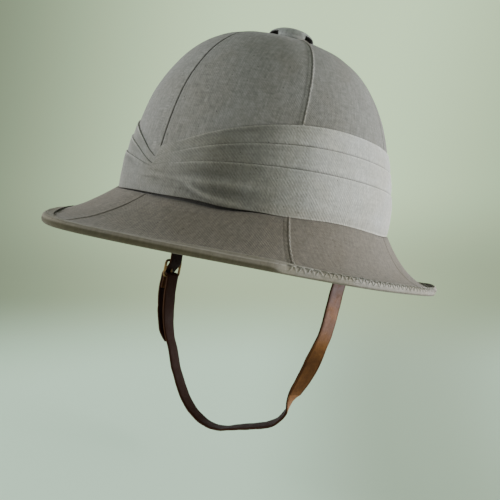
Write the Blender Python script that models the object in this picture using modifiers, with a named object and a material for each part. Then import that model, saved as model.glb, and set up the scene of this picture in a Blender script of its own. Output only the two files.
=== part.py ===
"""Pith helmet with a pleated puggaree, a bound brim, a vent cap and a leather chin strap.

Units are metres. +Z is up, -Y is the front, +X is the wearer's left. The origin is the middle
of the crown's foot, at the level of the puggaree's lower edge, where the hat sits on a head.
An angle round the helmet is 0 at the front, 90 degrees at +X and 180 degrees at the back.
"""
import math

import bmesh
import bpy
import numpy as np
from mathutils import Matrix, Vector

MM = 0.001
SEAT_GAP = 0.3 * MM

# Crown: outer surface of the shell.
CROWN_HALF_LENGTH = 110.1 * MM
CROWN_HALF_WIDTH = 95.1 * MM
CROWN_HEIGHT = 130.6 * MM
CROWN_HEIGHT_POWER = 2.04
CROWN_ROUND_POWER = 2.81
CROWN_LEAN = -5.7 * MM
WALL = 3.0 * MM
VENT_RADIUS = 10.6 * MM
VENT_X = 2.0 * MM
VENT_Y = -4.0 * MM
TURNS_ROUND = 60
CROWN_ROWS = 10

# Foot: the line where the crown meets the brim, a little higher at the sides.
FOOT_HEIGHT = {  # angle in degrees: height in millimetres
    -180: 0.0,
    -120: 0.5,
    -75: 2.2,
    -35: -3.6,
    0: -2.2,
    28: -1.6,
    50: 1.4,
    75: 3.8,
    115: 0.6,
    180: 0.0,
}

# Brim: reach and drop of its outer edge from the origin, on the shell's upper face.
BRIM_FOOT_STEP = 3.9 * MM
BRIM_SIDE = 130.1 * MM
BRIM_FRONT = 164.6 * MM
BRIM_BACK = 176.7 * MM
BRIM_PEAK = 17.9 * MM
BRIM_PEAK_SPREAD = math.radians(22)
BRIM_FRONT_POWER = 1.81
BRIM_BACK_POWER = 2.26
BRIM_DROP = 30.9 * MM
BRIM_DROP_TO_BACK = 5.1 * MM
BRIM_DROP_ENDS = 1.7 * MM
BRIM_ROWS = (0.06, 0.16, 0.3, 0.48, 0.68)
# How hollow the brim's section is: 1 is straight, 2 and more falls steeply at the crown.
BRIM_HOLLOW = {  # angle in degrees: power of the section
    0: 2.1,
    45: 1.35,
    90: 2.4,
    135: 2.05,
    180: 1.65,
}

# Binding: the cloth edge, folded over the brim.
BINDING_DEPTH = 8.0 * MM
BINDING_CLOTH = 0.8 * MM

# Puggaree: three turns of folded cloth, each lying on the one before and ending lower.
TURN_CLOTH = 1.0 * MM
PUGGAREE_STEEPNESS = 0.85
PUGGAREE_CREST = math.radians(78)
PUGGAREE_LIFT = 1.6 * MM
PUGGAREE_LIFT_AT = math.radians(18)
PUGGAREE_LIFT_SPREAD = math.radians(22)
PUGGAREE_FOOT = 0.5 * MM
PUGGAREE_ROW = 16.5 * MM
PUGGAREE_TURNS = {  # height of the folded upper edge: at the front, wearer's left, right, back
    "puggaree_top": {"front": 27.0 * MM, "left": 65.0 * MM, "right": 64.0 * MM, "back": 56.0 * MM},
    "puggaree_middle": {"front": 22.5 * MM, "left": 50.5 * MM, "right": 47.0 * MM, "back": 43.5 * MM},
    "puggaree_outer": {"front": 17.5 * MM, "left": 34.2 * MM, "right": 31.0 * MM, "back": 27.5 * MM},
}

# Vent cap and its collar.
CAP_RADIUS = 17.5 * MM
CAP_RIM = 2.0 * MM
CAP_TOP = 9.8 * MM
CAP_WALL = 1.6 * MM
CAP_OPENING_ANGLES = (100.8, 220.8, 340.8)
CAP_OPENING_WIDTH = 12.0 * MM
CAP_OPENING_TOP = 3.5 * MM
CAP_STEPS = 30
COLLAR_TUBE = 9.9 * MM
COLLAR_BORE = 8.6 * MM
COLLAR_FLANGE = 13.6 * MM
COLLAR_PLATE = 1.0 * MM
COLLAR_REACH = 5.5 * MM

# Chin strap: it hangs in the plane y = STRAP_Y.
STRAP_Y = 9.0 * MM
STRAP_WIDTH = 12.0 * MM
STRAP_LEATHER = 2.0 * MM
STRAP_TIP = 11.0 * MM
STRAP_STEP = 7.0 * MM
STUD_X = 89.4 * MM
STUD_Z = 8.0 * MM
STUD_END = 91.2 * MM
STUD_HEAD = 4.0 * MM
STUD_HEAD_DEPTH = 1.3 * MM
STUD_SHANK = 1.4 * MM
STUD_HOLE = 1.9 * MM

# Buckle: a frame of wire with its prong, on the wearer's right.
BUCKLE_X = -88.4 * MM
BUCKLE_Z = -66.0 * MM
BUCKLE_HALF_WIDTH = 8.6 * MM
BUCKLE_HALF_HEIGHT = 7.0 * MM
BUCKLE_WIRE = 1.1 * MM
BUCKLE_CORNER = 2.4 * MM
PRONG_WIRE = 0.9 * MM
LAYER = BUCKLE_WIRE + SEAT_GAP + STRAP_LEATHER / 2

# Routes of the straps' middle lines, as (x, z) in millimetres, from the wearer's left round.
LONG_ROUTE = (
    (89.2, 16), (89.5, 2), (87.0, -18), (84, -40), (83, -62), (82, -76), (79, -89), (74, -108),
    (67.5, -125), (63.5, -132), (61, -143), (54, -153.5), (41.5, -161), (20.5, -170), (4, -177),
    (-10, -179), (-21, -177.5), (-33, -173), (-44, -165), (-53, -155), (-61, -145), (-67, -134),
    (-76, -121), (-81.5, -107), (-85, -90), (-86, -79),
)
TONGUE_ROUTE = ((-93.2, -86), (-89.0, -104), (-83.6, -117), (-78.4, -129))
SHORT_TOP_ROUTE = ((-89.2, 16), (-89.5, 2), (-88.6, -18), (-87.2, -38), (-86.2, -52))


# ---------------------------------------------------------------- helpers

def new_collection(name):
    collection = bpy.data.collections.new(name)
    bpy.context.scene.collection.children.link(collection)
    return collection


def plain_material(name, color, roughness, metallic=0.0):
    material = bpy.data.materials.new(name)
    material.use_nodes = True
    shader = material.node_tree.nodes["Principled BSDF"]
    shader.inputs["Base Color"].default_value = (*color, 1.0)
    shader.inputs["Roughness"].default_value = roughness
    shader.inputs["Metallic"].default_value = metallic
    return material


def add_object(name, mesh, collection, material=None):
    thing = bpy.data.objects.new(name, mesh)
    collection.objects.link(thing)
    if material:
        mesh.materials.append(material)
    return thing


def loft_mesh(name, points, close_rows=False):
    """Mesh through points[row, column], closed round the columns, and round the rows if asked."""
    rows, columns = points.shape[:2]
    last = rows if close_rows else rows - 1
    row, column = np.meshgrid(np.arange(last), np.arange(columns), indexing="ij")
    below, after = (row + 1) % rows, (column + 1) % columns
    corners = [row * columns + column, below * columns + column,
               below * columns + after, row * columns + after]
    faces = np.stack(corners, axis=-1).reshape(-1, 4)
    mesh = bpy.data.meshes.new(name)
    mesh.from_pydata(points.reshape(-1, 3).tolist(), [], faces.tolist())
    return finish_mesh(mesh)


def finish_mesh(mesh, sharp_degrees=40):
    """Turn a closed mesh's faces outwards, and shade the round ones smooth."""
    work = bmesh.new()
    work.from_mesh(mesh)
    if not any(edge.is_boundary for edge in work.edges):
        bmesh.ops.recalc_face_normals(work, faces=work.faces)
    work.to_mesh(mesh)
    work.free()
    mesh.shade_smooth()
    mesh.set_sharp_from_angle(angle=math.radians(sharp_degrees))
    return mesh


def baked_mesh(thing):
    """The object's mesh with its modifiers, and with its caps welded."""
    graph = bpy.context.evaluated_depsgraph_get()
    mesh = bpy.data.meshes.new_from_object(thing.evaluated_get(graph))
    work = bmesh.new()
    work.from_mesh(mesh)
    bmesh.ops.remove_doubles(work, verts=work.verts, dist=1e-6)
    bmesh.ops.recalc_face_normals(work, faces=work.faces)
    work.to_mesh(mesh)
    work.free()
    return mesh


def add_cutter(name, mesh, matrix=None):
    cutter = add_object(name, mesh, cutters)
    cutter.hide_render = True
    cutter.display_type = "WIRE"
    if matrix:
        cutter.matrix_world = matrix
    return cutter


def cylinder_mesh(name, radius, depth, sides):
    mesh = bpy.data.meshes.new(name)
    work = bmesh.new()
    bmesh.ops.create_cone(work, cap_ends=True, segments=sides, radius1=radius, radius2=radius,
                          depth=depth)
    work.to_mesh(mesh)
    work.free()
    return mesh


def box_mesh(name, size):
    mesh = bpy.data.meshes.new(name)
    work = bmesh.new()
    bmesh.ops.create_cube(work, size=1.0, matrix=Matrix.Diagonal((*size, 1.0)))
    work.to_mesh(mesh)
    work.free()
    return mesh


def boolean(thing, cutter, operation):
    modifier = thing.modifiers.new(cutter.name, "BOOLEAN")
    modifier.solver = "EXACT"
    modifier.operation = operation
    modifier.object = cutter


def turned(name, profile, steps, material):
    """Round piece on the crown's vent, from (radius, height) points down its outer side."""
    mesh = bpy.data.meshes.new(name)
    count = len(profile)
    edges = [(i, (i + 1) % count) for i in range(count)]
    mesh.from_pydata([(radius, 0.0, height) for radius, height in profile], edges, [])
    thing = add_object(name, mesh, helmet, material)
    thing.location = (VENT_X, VENT_Y, CROWN_HEIGHT)
    screw = thing.modifiers.new("turn", "SCREW")
    screw.steps = steps
    screw.render_steps = steps
    screw.use_merge_vertices = True
    screw.merge_threshold = 0.00001
    return thing


# ---------------------------------------------------------------- shell

def round_angles():
    return np.linspace(0.0, 2.0 * math.pi, TURNS_ROUND, endpoint=False)


def signed(angle):
    """The angle between -180 and 180 degrees, positive to the wearer's left."""
    return (angle + math.pi) % (2.0 * math.pi) - math.pi


def foot_height(angle):
    """Height of the line where crown and brim meet, eased between the table's rows."""
    degrees = np.degrees(signed(angle))
    places = np.array(list(FOOT_HEIGHT))
    heights = np.array(list(FOOT_HEIGHT.values())) * MM
    row = np.clip(np.searchsorted(places, degrees, side="right") - 1, 0, len(places) - 2)
    share = (degrees - places[row]) / (places[row + 1] - places[row])
    ease = 0.5 - 0.5 * np.cos(math.pi * share)
    return heights[row] + (heights[row + 1] - heights[row]) * ease


def crown_point(angle, height, out=0.0):
    """Point at a height on the crown, moved outwards along the surface's normal."""
    step = 0.2 * MM

    def surface(angle, height):
        rise = np.clip(height / CROWN_HEIGHT, 0.0, 1.0)
        girth = (1.0 - rise ** CROWN_HEIGHT_POWER) ** (1.0 / CROWN_ROUND_POWER)
        return np.stack([
            CROWN_HALF_WIDTH * girth * np.sin(angle),
            -CROWN_HALF_LENGTH * girth * np.cos(angle) + CROWN_LEAN * rise,
            height + 0.0 * angle,
        ], axis=-1)

    point = surface(angle, height)
    along = surface(angle + 0.002, height) - surface(angle - 0.002, height)
    up = surface(angle, height + step) - surface(angle, height - step)
    normal = np.cross(along, up)
    normal /= np.linalg.norm(normal, axis=-1, keepdims=True)
    return point + normal * np.asarray(out)[..., None]


def brim_edge(angle):
    """Outer edge of the brim: an oval with a drawn-out front, a little lower at the back."""
    front, side = np.cos(angle), np.sin(angle)
    blend = 0.5 * (1.0 + np.tanh(4.0 * front))
    power = BRIM_FRONT_POWER * blend + BRIM_BACK_POWER * (1.0 - blend)
    peak = BRIM_PEAK * np.exp(-(signed(angle) / BRIM_PEAK_SPREAD) ** 2)
    reach = np.where(front > 0.0, BRIM_FRONT, BRIM_BACK)
    drop = BRIM_DROP - BRIM_DROP_TO_BACK * front + BRIM_DROP_ENDS * np.cos(2.0 * angle)
    return np.stack([
        BRIM_SIDE * np.sign(side) * np.abs(side) ** (2.0 / power),
        -reach * np.sign(front) * np.abs(front) ** (2.0 / power) - peak,
        -drop,
    ], axis=-1)


def brim_point(angle, share):
    """Point on the brim's upper face, from its foot (share 0) to its edge (share 1)."""
    place = np.abs(np.degrees(signed(angle))) / 45.0
    left = np.clip(np.floor(place), 0, 3).astype(int)
    powers = np.array(list(BRIM_HOLLOW.values()))
    ease = 0.5 - 0.5 * np.cos(math.pi * (place - left))
    power = powers[left] * (1.0 - ease) + powers[left + 1] * ease
    foot = crown_point(angle, foot_height(angle))
    foot[..., 0] *= 1.0 + BRIM_FOOT_STEP / CROWN_HALF_WIDTH
    foot[..., 1] *= 1.0 + BRIM_FOOT_STEP / CROWN_HALF_LENGTH
    edge = brim_edge(angle)
    point = foot + (edge - foot) * np.asarray(share)[..., None]
    fall = 1.0 - (1.0 - share) ** power
    point[..., 2] = foot[..., 2] + (edge[..., 2] - foot[..., 2]) * fall
    return point


def bound_share(angle):
    """Share of the brim's width at which its binding starts."""
    across = brim_point(angle, 1.0 + 0.0 * angle) - brim_point(angle, 0.0 * angle)
    return 1.0 - BINDING_DEPTH / np.linalg.norm(across, axis=-1)


def shell_rows():
    """Upper face of the shell, from the vent down the crown and out to the brim's edge."""
    angle = round_angles()
    middle = (CROWN_HALF_LENGTH + CROWN_HALF_WIDTH) / 2.0
    vent_girth = VENT_RADIUS / middle
    top = math.acos(vent_girth ** (CROWN_ROUND_POWER / 2.0))
    rows = []
    for row in range(CROWN_ROWS + 1):
        slope = top * (1.0 - row / CROWN_ROWS)
        rise = math.sin(slope) ** (2.0 / CROWN_HEIGHT_POWER)
        foot = foot_height(angle)
        point = crown_point(angle, foot + (CROWN_HEIGHT - foot) * rise)
        if row == 0:
            point[:, 0] = VENT_X + VENT_RADIUS * np.sin(angle)
            point[:, 1] = VENT_Y - VENT_RADIUS * np.cos(angle)
        rows.append(point)
    rows.append(brim_point(angle, 0.0 * angle))
    rows.extend(brim_point(angle, share + 0.0 * angle) for share in BRIM_ROWS)
    rows.append(brim_point(angle, bound_share(angle)))
    rows.append(brim_point(angle, 1.0 + 0.0 * angle))
    return np.array(rows)


def build_shell():
    mesh = loft_mesh("helmet_shell", shell_rows())
    shell = add_object("helmet_shell", mesh, helmet, khaki_cloth)
    wall = shell.modifiers.new("wall", "SOLIDIFY")
    wall.thickness = WALL
    wall.offset = -1.0
    wall.use_even_offset = True


def build_binding():
    """Cloth folded over the edge: a U section carried round the brim."""
    angle = round_angles()
    whole = 1.0 + 0.0 * angle
    edge = brim_point(angle, whole)
    inner_share = bound_share(angle)
    inner = brim_point(angle, inner_share)

    def upright(share):
        along = brim_point(angle + 0.002, share) - brim_point(angle - 0.002, share)
        outward = brim_point(angle, share) - brim_point(angle, share - 0.02)
        normal = np.cross(outward, along)
        normal /= np.linalg.norm(normal, axis=-1, keepdims=True)
        flat = np.cross(along, normal)
        return normal, flat / np.linalg.norm(flat, axis=-1, keepdims=True)

    normal, outward = upright(whole)
    inner_normal, _ = upright(inner_share)
    gap, cloth = SEAT_GAP, BINDING_CLOTH
    under = -(WALL + 2.0 * gap)
    section = [
        inner + inner_normal * gap,
        edge + normal * gap + outward * gap,
        edge + normal * under + outward * gap,
        inner + inner_normal * under,
        inner + inner_normal * (under - cloth),
        edge + normal * (under - cloth) + outward * (gap + 0.2 * cloth),
        edge + normal * (under - 0.2 * cloth) + outward * (gap + cloth),
        edge + normal * (gap + 0.2 * cloth) + outward * (gap + cloth),
        edge + normal * (gap + cloth) + outward * (gap + 0.2 * cloth),
        inner + inner_normal * (gap + cloth),
    ]
    mesh = loft_mesh("brim_binding", np.array(section), close_rows=True)
    add_object("brim_binding", mesh, helmet, khaki_cloth)


# ---------------------------------------------------------------- puggaree

def pleat_height(angle, turn):
    """Height of a turn's folded edge: a V at the front, a crest at each side, lower behind."""
    crest = np.where(signed(angle) >= 0.0, turn["left"], turn["right"])
    away = np.abs(signed(angle))
    ahead = np.clip(away / PUGGAREE_CREST, 0.0, 1.0)
    behind = np.clip((away - PUGGAREE_CREST) / (math.pi - PUGGAREE_CREST), 0.0, 1.0)
    climb = np.sin(0.5 * math.pi * ahead) ** PUGGAREE_STEEPNESS
    fall = 0.5 - 0.5 * np.cos(math.pi * behind)
    return turn["front"] + (crest - turn["front"]) * climb + (turn["back"] - crest) * fall


def build_puggaree():
    angle = round_angles()
    from_lift = (signed(angle) - PUGGAREE_LIFT_AT) / PUGGAREE_LIFT_SPREAD
    foot = foot_height(angle) + PUGGAREE_FOOT + PUGGAREE_LIFT * np.exp(-from_lift ** 2)
    for number, (name, turn) in enumerate(PUGGAREE_TURNS.items()):
        levels = np.linspace(0.0, 1.0, math.ceil(turn["left"] / PUGGAREE_ROW) + 1)
        top = pleat_height(angle, turn)
        inside = SEAT_GAP + number * (TURN_CLOTH + SEAT_GAP)
        outside = inside + TURN_CLOTH
        section = [crown_point(angle, foot + (top - foot) * level, inside + 0.0 * angle)
                   for level in levels]
        fold = top - 0.5 * TURN_CLOTH
        section += [crown_point(angle, foot + (fold - foot) * level, outside + 0.0 * angle)
                    for level in reversed(levels)]
        mesh = loft_mesh(name, np.array(section), close_rows=True)
        add_object(name, mesh, helmet, puggaree_cloth)


# ---------------------------------------------------------------- vent

def build_vent():
    steps = 5
    arc = [0.5 * math.pi * i / steps for i in range(steps + 1)]
    inner_radius, inner_top = CAP_RADIUS - CAP_WALL, CAP_TOP - CAP_WALL
    inner_rise = inner_top - CAP_RIM
    axis_gap = 0.0
    outer = [(CAP_RADIUS * math.cos(a), CAP_RIM + (CAP_TOP - CAP_RIM) * math.sin(a)) for a in arc]
    inner = [(inner_radius * math.cos(a), CAP_RIM + inner_rise * math.sin(a)) for a in arc]
    outer[-1], inner[-1] = (axis_gap, CAP_TOP), (axis_gap, inner_top)
    down_outer = list(reversed(outer)) + [(CAP_RADIUS, 0.0)]
    profile = down_outer + [(inner_radius, 0.0)] + inner
    cap = turned("vent_cap", profile, CAP_STEPS, khaki_cloth)
    weld_axis(cap)
    for angle in CAP_OPENING_ANGLES:
        turn = math.radians(angle)
        height = CAP_OPENING_TOP + 4.0 * MM
        mesh = box_mesh("vent_opening", (CAP_OPENING_WIDTH, CAP_RADIUS, height))
        middle = Vector((math.sin(turn), -math.cos(turn), 0.0)) * CAP_RADIUS
        middle += Vector((VENT_X, VENT_Y, CROWN_HEIGHT + CAP_OPENING_TOP - height / 2.0))
        place = Matrix.Translation(middle) @ Matrix.Rotation(turn, 4, "Z")
        boolean(cap, add_cutter("vent_opening_cutter", mesh, place), "DIFFERENCE")

    seat = SEAT_GAP
    collar = [
        (COLLAR_BORE, seat + COLLAR_PLATE),
        (COLLAR_FLANGE, seat + COLLAR_PLATE),
        (COLLAR_FLANGE, seat),
        (COLLAR_TUBE, seat),
        (COLLAR_TUBE, -COLLAR_REACH),
        (COLLAR_BORE, -COLLAR_REACH),
    ]
    turned("vent_collar", collar, CAP_STEPS, dull_brass)


def weld_axis(thing):
    """Bake a turned piece whose profile touches its axis, and close it there."""
    mesh = baked_mesh(thing)
    mesh.materials.clear()
    mesh.materials.append(khaki_cloth)
    thing.modifiers.clear()
    thing.data = finish_mesh(mesh)


# ---------------------------------------------------------------- strap

def smooth_route(points, step):
    """Even points on the smooth curve through a route of (x, z) points in metres."""
    points = np.array(points, dtype=float)
    ends = np.vstack([2 * points[0] - points[1], points, 2 * points[-1] - points[-2]])
    share = np.linspace(0.0, 1.0, 12, endpoint=False)[:, None]
    dense = []
    for before, start, end, after in zip(ends, ends[1:], ends[2:], ends[3:]):
        dense.append(0.5 * (2 * start + (end - before) * share
                            + (2 * before - 5 * start + 4 * end - after) * share ** 2
                            + (3 * start - before - 3 * end + after) * share ** 3))
    dense = np.vstack([*dense, points[-1:]])
    travelled = np.append(0.0, np.cumsum(np.linalg.norm(np.diff(dense, axis=0), axis=1)))
    count = max(2, round(travelled[-1] / step) + 1)
    wanted = np.linspace(0.0, travelled[-1], count)
    return np.stack([np.interp(wanted, travelled, dense[:, i]) for i in range(2)], axis=-1)


def build_ribbon(name, route, tip=0.0):
    """Flat strap along a route: an open strip with a wall, with a pointed end if asked."""
    middle = np.stack([route[:, 0], np.full(len(route), STRAP_Y), route[:, 1]], axis=-1)
    steps = np.linalg.norm(np.diff(middle, axis=0), axis=1)
    left = np.append(np.cumsum(steps[::-1])[::-1], 0.0)
    half = np.full(len(route), STRAP_WIDTH / 2.0)
    if tip:
        half *= np.clip(0.12 + 0.88 * left / tip, 0.0, 1.0) ** 0.7
    across = np.array([-1.0, 0.0, 1.0])
    points = np.repeat(middle[:, None, :], 3, axis=1)
    points[..., 1] += half[:, None] * across
    rows = len(route)
    faces = [(3 * row + side, 3 * row + side + 1, 3 * row + side + 4, 3 * row + side + 3)
             for row in range(rows - 1) for side in range(2)]
    mesh = bpy.data.meshes.new(name)
    mesh.from_pydata(points.reshape(-1, 3).tolist(), [], faces)
    mesh.shade_smooth()
    strap = add_object(name, mesh, helmet, strap_leather)
    wall = strap.modifiers.new("wall", "SOLIDIFY")
    wall.thickness = STRAP_LEATHER
    wall.offset = 0.0
    wall.use_even_offset = True
    return strap


def drill(strap, place, direction, radius, depth):
    mesh = cylinder_mesh("strap_hole", radius, depth, 16)
    turn = Vector(direction).to_track_quat("Z", "Y").to_matrix().to_4x4()
    cutter = add_cutter(f"{strap.name}_hole", mesh, Matrix.Translation(place) @ turn)
    boolean(strap, cutter, "DIFFERENCE")


def build_straps():
    route = smooth_route(np.array(LONG_ROUTE) * MM, STRAP_STEP)
    heel = BUCKLE_Z - BUCKLE_HALF_HEIGHT
    turn = np.linspace(0.0, math.pi, 9)
    fold = np.stack([BUCKLE_X + LAYER * np.cos(turn), heel + LAYER * np.sin(turn)], axis=-1)
    flap = np.array([[BUCKLE_X - LAYER, heel - 5.0 * MM], [BUCKLE_X - LAYER, heel - 11.0 * MM]])
    long_strap = build_ribbon("strap_long", np.vstack([route, fold, flap]))
    drill(long_strap, (STUD_X, STRAP_Y, STUD_Z), (1, 0, 0), STUD_HOLE, 8.0 * MM)
    slot = box_mesh("prong_slot", (2.7 * LAYER, 3.2 * MM, 5.4 * MM))
    place = Matrix.Translation((BUCKLE_X - 0.7 * LAYER, STRAP_Y, heel + 2.0 * MM))
    boolean(long_strap, add_cutter("prong_slot_cutter", slot, place), "DIFFERENCE")

    top = BUCKLE_Z + BUCKLE_HALF_HEIGHT
    outer_layer = LAYER + STRAP_LEATHER + SEAT_GAP
    crossing = [
        (BUCKLE_X + LAYER, top + 3.0 * MM),
        (BUCKLE_X + LAYER, top - 0.5 * MM),
        (BUCKLE_X + 0.4 * LAYER, top - 4.4 * MM),
        (BUCKLE_X - 0.9 * LAYER, heel + 5.6 * MM),
        (BUCKLE_X - outer_layer, heel + 1.6 * MM),
        (BUCKLE_X - outer_layer, heel - 3.0 * MM),
    ]
    points = list(np.array(SHORT_TOP_ROUTE) * MM) + crossing + list(np.array(TONGUE_ROUTE) * MM)
    short_strap = build_ribbon("strap_short", smooth_route(points, 3.2 * MM), tip=STRAP_TIP)
    drill(short_strap, (-STUD_X, STRAP_Y, STUD_Z), (1, 0, 0), STUD_HOLE, 8.0 * MM)
    drill(short_strap, (BUCKLE_X - PRONG_WIRE, STRAP_Y, BUCKLE_Z), (0, 0, 1), 1.7 * MM, 12.0 * MM)


def build_studs():
    """A stud on each side: a head on the strap's inner face and a shank to the shell's wall."""
    for name, side in (("strap_stud_left", 1.0), ("strap_stud_right", -1.0)):
        inner_face = STUD_X - STRAP_LEATHER / 2.0 - SEAT_GAP
        profile = [
            (0.75 * STUD_HEAD, inner_face - STUD_HEAD_DEPTH),
            (STUD_HEAD, inner_face - 0.35 * STUD_HEAD_DEPTH),
            (STUD_HEAD, inner_face),
            (STUD_SHANK, inner_face),
            (STUD_SHANK, STUD_END),
        ]
        sides = 16
        angle = np.linspace(0.0, 2.0 * math.pi, sides, endpoint=False)
        rows = np.array([[(side * x, STRAP_Y + r * math.cos(a), STUD_Z + r * math.sin(a))
                          for a in angle] for r, x in profile])
        mesh = loft_mesh(name, rows)
        work = bmesh.new()
        work.from_mesh(mesh)
        bmesh.ops.holes_fill(work, edges=[edge for edge in work.edges if edge.is_boundary])
        work.to_mesh(mesh)
        work.free()
        add_object(name, finish_mesh(mesh), helmet, dull_brass)


def build_buckle():
    """Rectangular wire frame with its prong, as one body."""
    frame_points = []
    corners = ((1, 1), (-1, 1), (-1, -1), (1, -1))
    for number, (across, up) in enumerate(corners):
        for step in range(4):
            angle = 0.5 * math.pi * (number + step / 3.0)
            frame_points.append((
                BUCKLE_X,
                STRAP_Y + across * (BUCKLE_HALF_WIDTH - BUCKLE_CORNER)
                + BUCKLE_CORNER * math.cos(angle),
                BUCKLE_Z + up * (BUCKLE_HALF_HEIGHT - BUCKLE_CORNER)
                + BUCKLE_CORNER * math.sin(angle),
            ))
    frame = wire_object("strap_buckle", frame_points, BUCKLE_WIRE, cyclic=True)
    heel, top = BUCKLE_Z - BUCKLE_HALF_HEIGHT, BUCKLE_Z + BUCKLE_HALF_HEIGHT
    prong_points = [
        (BUCKLE_X - 0.3 * MM, STRAP_Y, heel),
        (BUCKLE_X - 0.9 * MM, STRAP_Y, BUCKLE_Z),
        (BUCKLE_X - 1.5 * MM, STRAP_Y, top - 1.0 * MM),
        (BUCKLE_X - 1.6 * MM, STRAP_Y, top + 1.6 * MM),
    ]
    prong = wire_object("buckle_prong", prong_points, PRONG_WIRE)
    cutters.objects.link(prong)
    helmet.objects.unlink(prong)
    prong.hide_render = True
    prong.display_type = "WIRE"
    boolean(frame, prong, "UNION")


def wire_object(name, points, radius, cyclic=False):
    """Round wire along points, as a closed mesh in place."""
    curve = bpy.data.curves.new(name, "CURVE")
    curve.dimensions = "3D"
    curve.bevel_depth = radius
    curve.bevel_resolution = 2
    curve.use_fill_caps = True
    spline = curve.splines.new("POLY")
    spline.points.add(len(points) - 1)
    for target, point in zip(spline.points, points):
        target.co = (*point, 1.0)
    spline.use_cyclic_u = cyclic
    guide = add_object(f"{name}_curve", curve, cutters)
    mesh = baked_mesh(guide)
    bpy.data.objects.remove(guide)
    mesh.materials.clear()
    return add_object(name, finish_mesh(mesh), helmet, dull_brass)


# ---------------------------------------------------------------- assembly

for old in list(bpy.data.objects):
    bpy.data.objects.remove(old)

helmet = new_collection("pith_helmet")
cutters = new_collection("cutters")
khaki_cloth = plain_material("khaki_cloth", (0.27, 0.255, 0.21), 0.9)
puggaree_cloth = plain_material("puggaree_cloth", (0.36, 0.35, 0.30), 0.9)
strap_leather = plain_material("strap_leather", (0.13, 0.06, 0.03), 0.5)
dull_brass = plain_material("dull_brass", (0.45, 0.33, 0.15), 0.45, metallic=1.0)

build_shell()
build_binding()
build_puggaree()
build_vent()
build_straps()
build_studs()
build_buckle()
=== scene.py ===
"""Looks of a worn khaki pith helmet: cloth-covered shell, pleated band, bound brim, vent, strap.

Lengths are metres in the frame of the solids: +Z up, -Y the front, +X the wearer's left. An
angle round the helmet is 0 at the front and 90 degrees at +X.
"""
import logging
import math
from dataclasses import dataclass
from enum import Enum

import bmesh
import bpy
import numpy as np
from mathutils import Matrix, Vector


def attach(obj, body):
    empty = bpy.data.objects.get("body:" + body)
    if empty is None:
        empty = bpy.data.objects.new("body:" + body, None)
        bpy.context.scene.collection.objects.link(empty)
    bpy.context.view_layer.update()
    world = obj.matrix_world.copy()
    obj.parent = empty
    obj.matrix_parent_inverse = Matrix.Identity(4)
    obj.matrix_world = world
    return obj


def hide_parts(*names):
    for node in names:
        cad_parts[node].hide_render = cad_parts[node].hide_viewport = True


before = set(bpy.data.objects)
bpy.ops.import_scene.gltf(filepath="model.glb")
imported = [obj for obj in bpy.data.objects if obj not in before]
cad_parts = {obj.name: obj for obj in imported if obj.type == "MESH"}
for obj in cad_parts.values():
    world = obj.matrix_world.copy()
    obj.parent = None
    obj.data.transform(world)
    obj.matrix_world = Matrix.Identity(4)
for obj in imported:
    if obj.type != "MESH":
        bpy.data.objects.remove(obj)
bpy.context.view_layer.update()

MM = 0.001
FULL_TURN = 2.0 * math.pi
BODY = "root"
LOG = logging.getLogger("pith_helmet")
Triple = tuple[float, float, float]
Colour = Triple
Range = tuple[float, float]
Rows = tuple[Range, ...]
Array = np.ndarray
Piece = bpy.types.Object
Tree, Node, Socket = bpy.types.NodeTree, bpy.types.Node, bpy.types.NodeSocket
Value = float | Socket


# ------------------------ curves and grids

def srgb(red: int, green: int, blue: int) -> Colour:
    """Linear colour of an 8-bit sRGB one."""
    values = np.array([red, green, blue]) / 255.0
    linear = np.where(values <= 0.04045, values / 12.92, ((values + 0.055) / 1.055) ** 2.4)
    return tuple(float(value) for value in linear)


def smooth_step(value: Array, low: float, high: float) -> Array:
    """0 below low, 1 above high, and an S curve between."""
    share = np.clip((value - low) / (high - low), 0.0, 1.0)
    return share * share * (3.0 - 2.0 * share)


def bell(value: Array, middle: float, width: float) -> Array:
    """Bell curve of height 1 at middle, that falls to 0.6 at width to either side."""
    return np.exp(-0.5 * ((value - middle) / width) ** 2)


@dataclass(frozen=True)
class Hump:
    """A bell curve with its own height, middle and width."""

    height: float
    middle: float
    width: float

    def at(self, value: Array) -> Array:
        """Height of the curve at each value."""
        return self.height * bell(value, self.middle, self.width)


def signed(angle: Array) -> Array:
    """The angle in radians between -pi and pi."""
    return (angle + math.pi) % FULL_TURN - math.pi


def unit(vectors: Array) -> Array:
    """The vectors at length 1."""
    return vectors / np.linalg.norm(vectors, axis=-1, keepdims=True)


def travelled(line: Array) -> Array:
    """Distance along a line from its first point to each of its points."""
    return np.append(0.0, np.cumsum(np.linalg.norm(np.diff(line, axis=0), axis=1)))


def smooth_route(points: Array, step: float) -> Array:
    """Even points on the smooth curve (Catmull-Rom) through a route.

    Args:
        points: the route's points, in metres.
        step: the wanted distance between the new points.

    Returns:
        The new points, both ends included.
    """
    parts = 24
    ends = np.vstack([2 * points[0] - points[1], points, 2 * points[-1] - points[-2]])
    share = np.linspace(0.0, 1.0, parts, endpoint=False)[None, :, None]
    before, start, end, after = (ends[i:len(ends) - 3 + i, None, :] for i in range(4))
    dense = 0.5 * (
        2 * start + (end - before) * share
        + (2 * before - 5 * start + 4 * end - after) * share ** 2
        + (3 * start - before - 3 * end + after) * share ** 3
    )
    dense = np.vstack([dense.reshape(-1, points.shape[1]), points[-1:]])
    way = travelled(dense)
    wanted = np.linspace(0.0, way[-1], round(way[-1] / step) + 1)
    return np.stack([np.interp(wanted, way, axis) for axis in dense.T], axis=-1)


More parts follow.
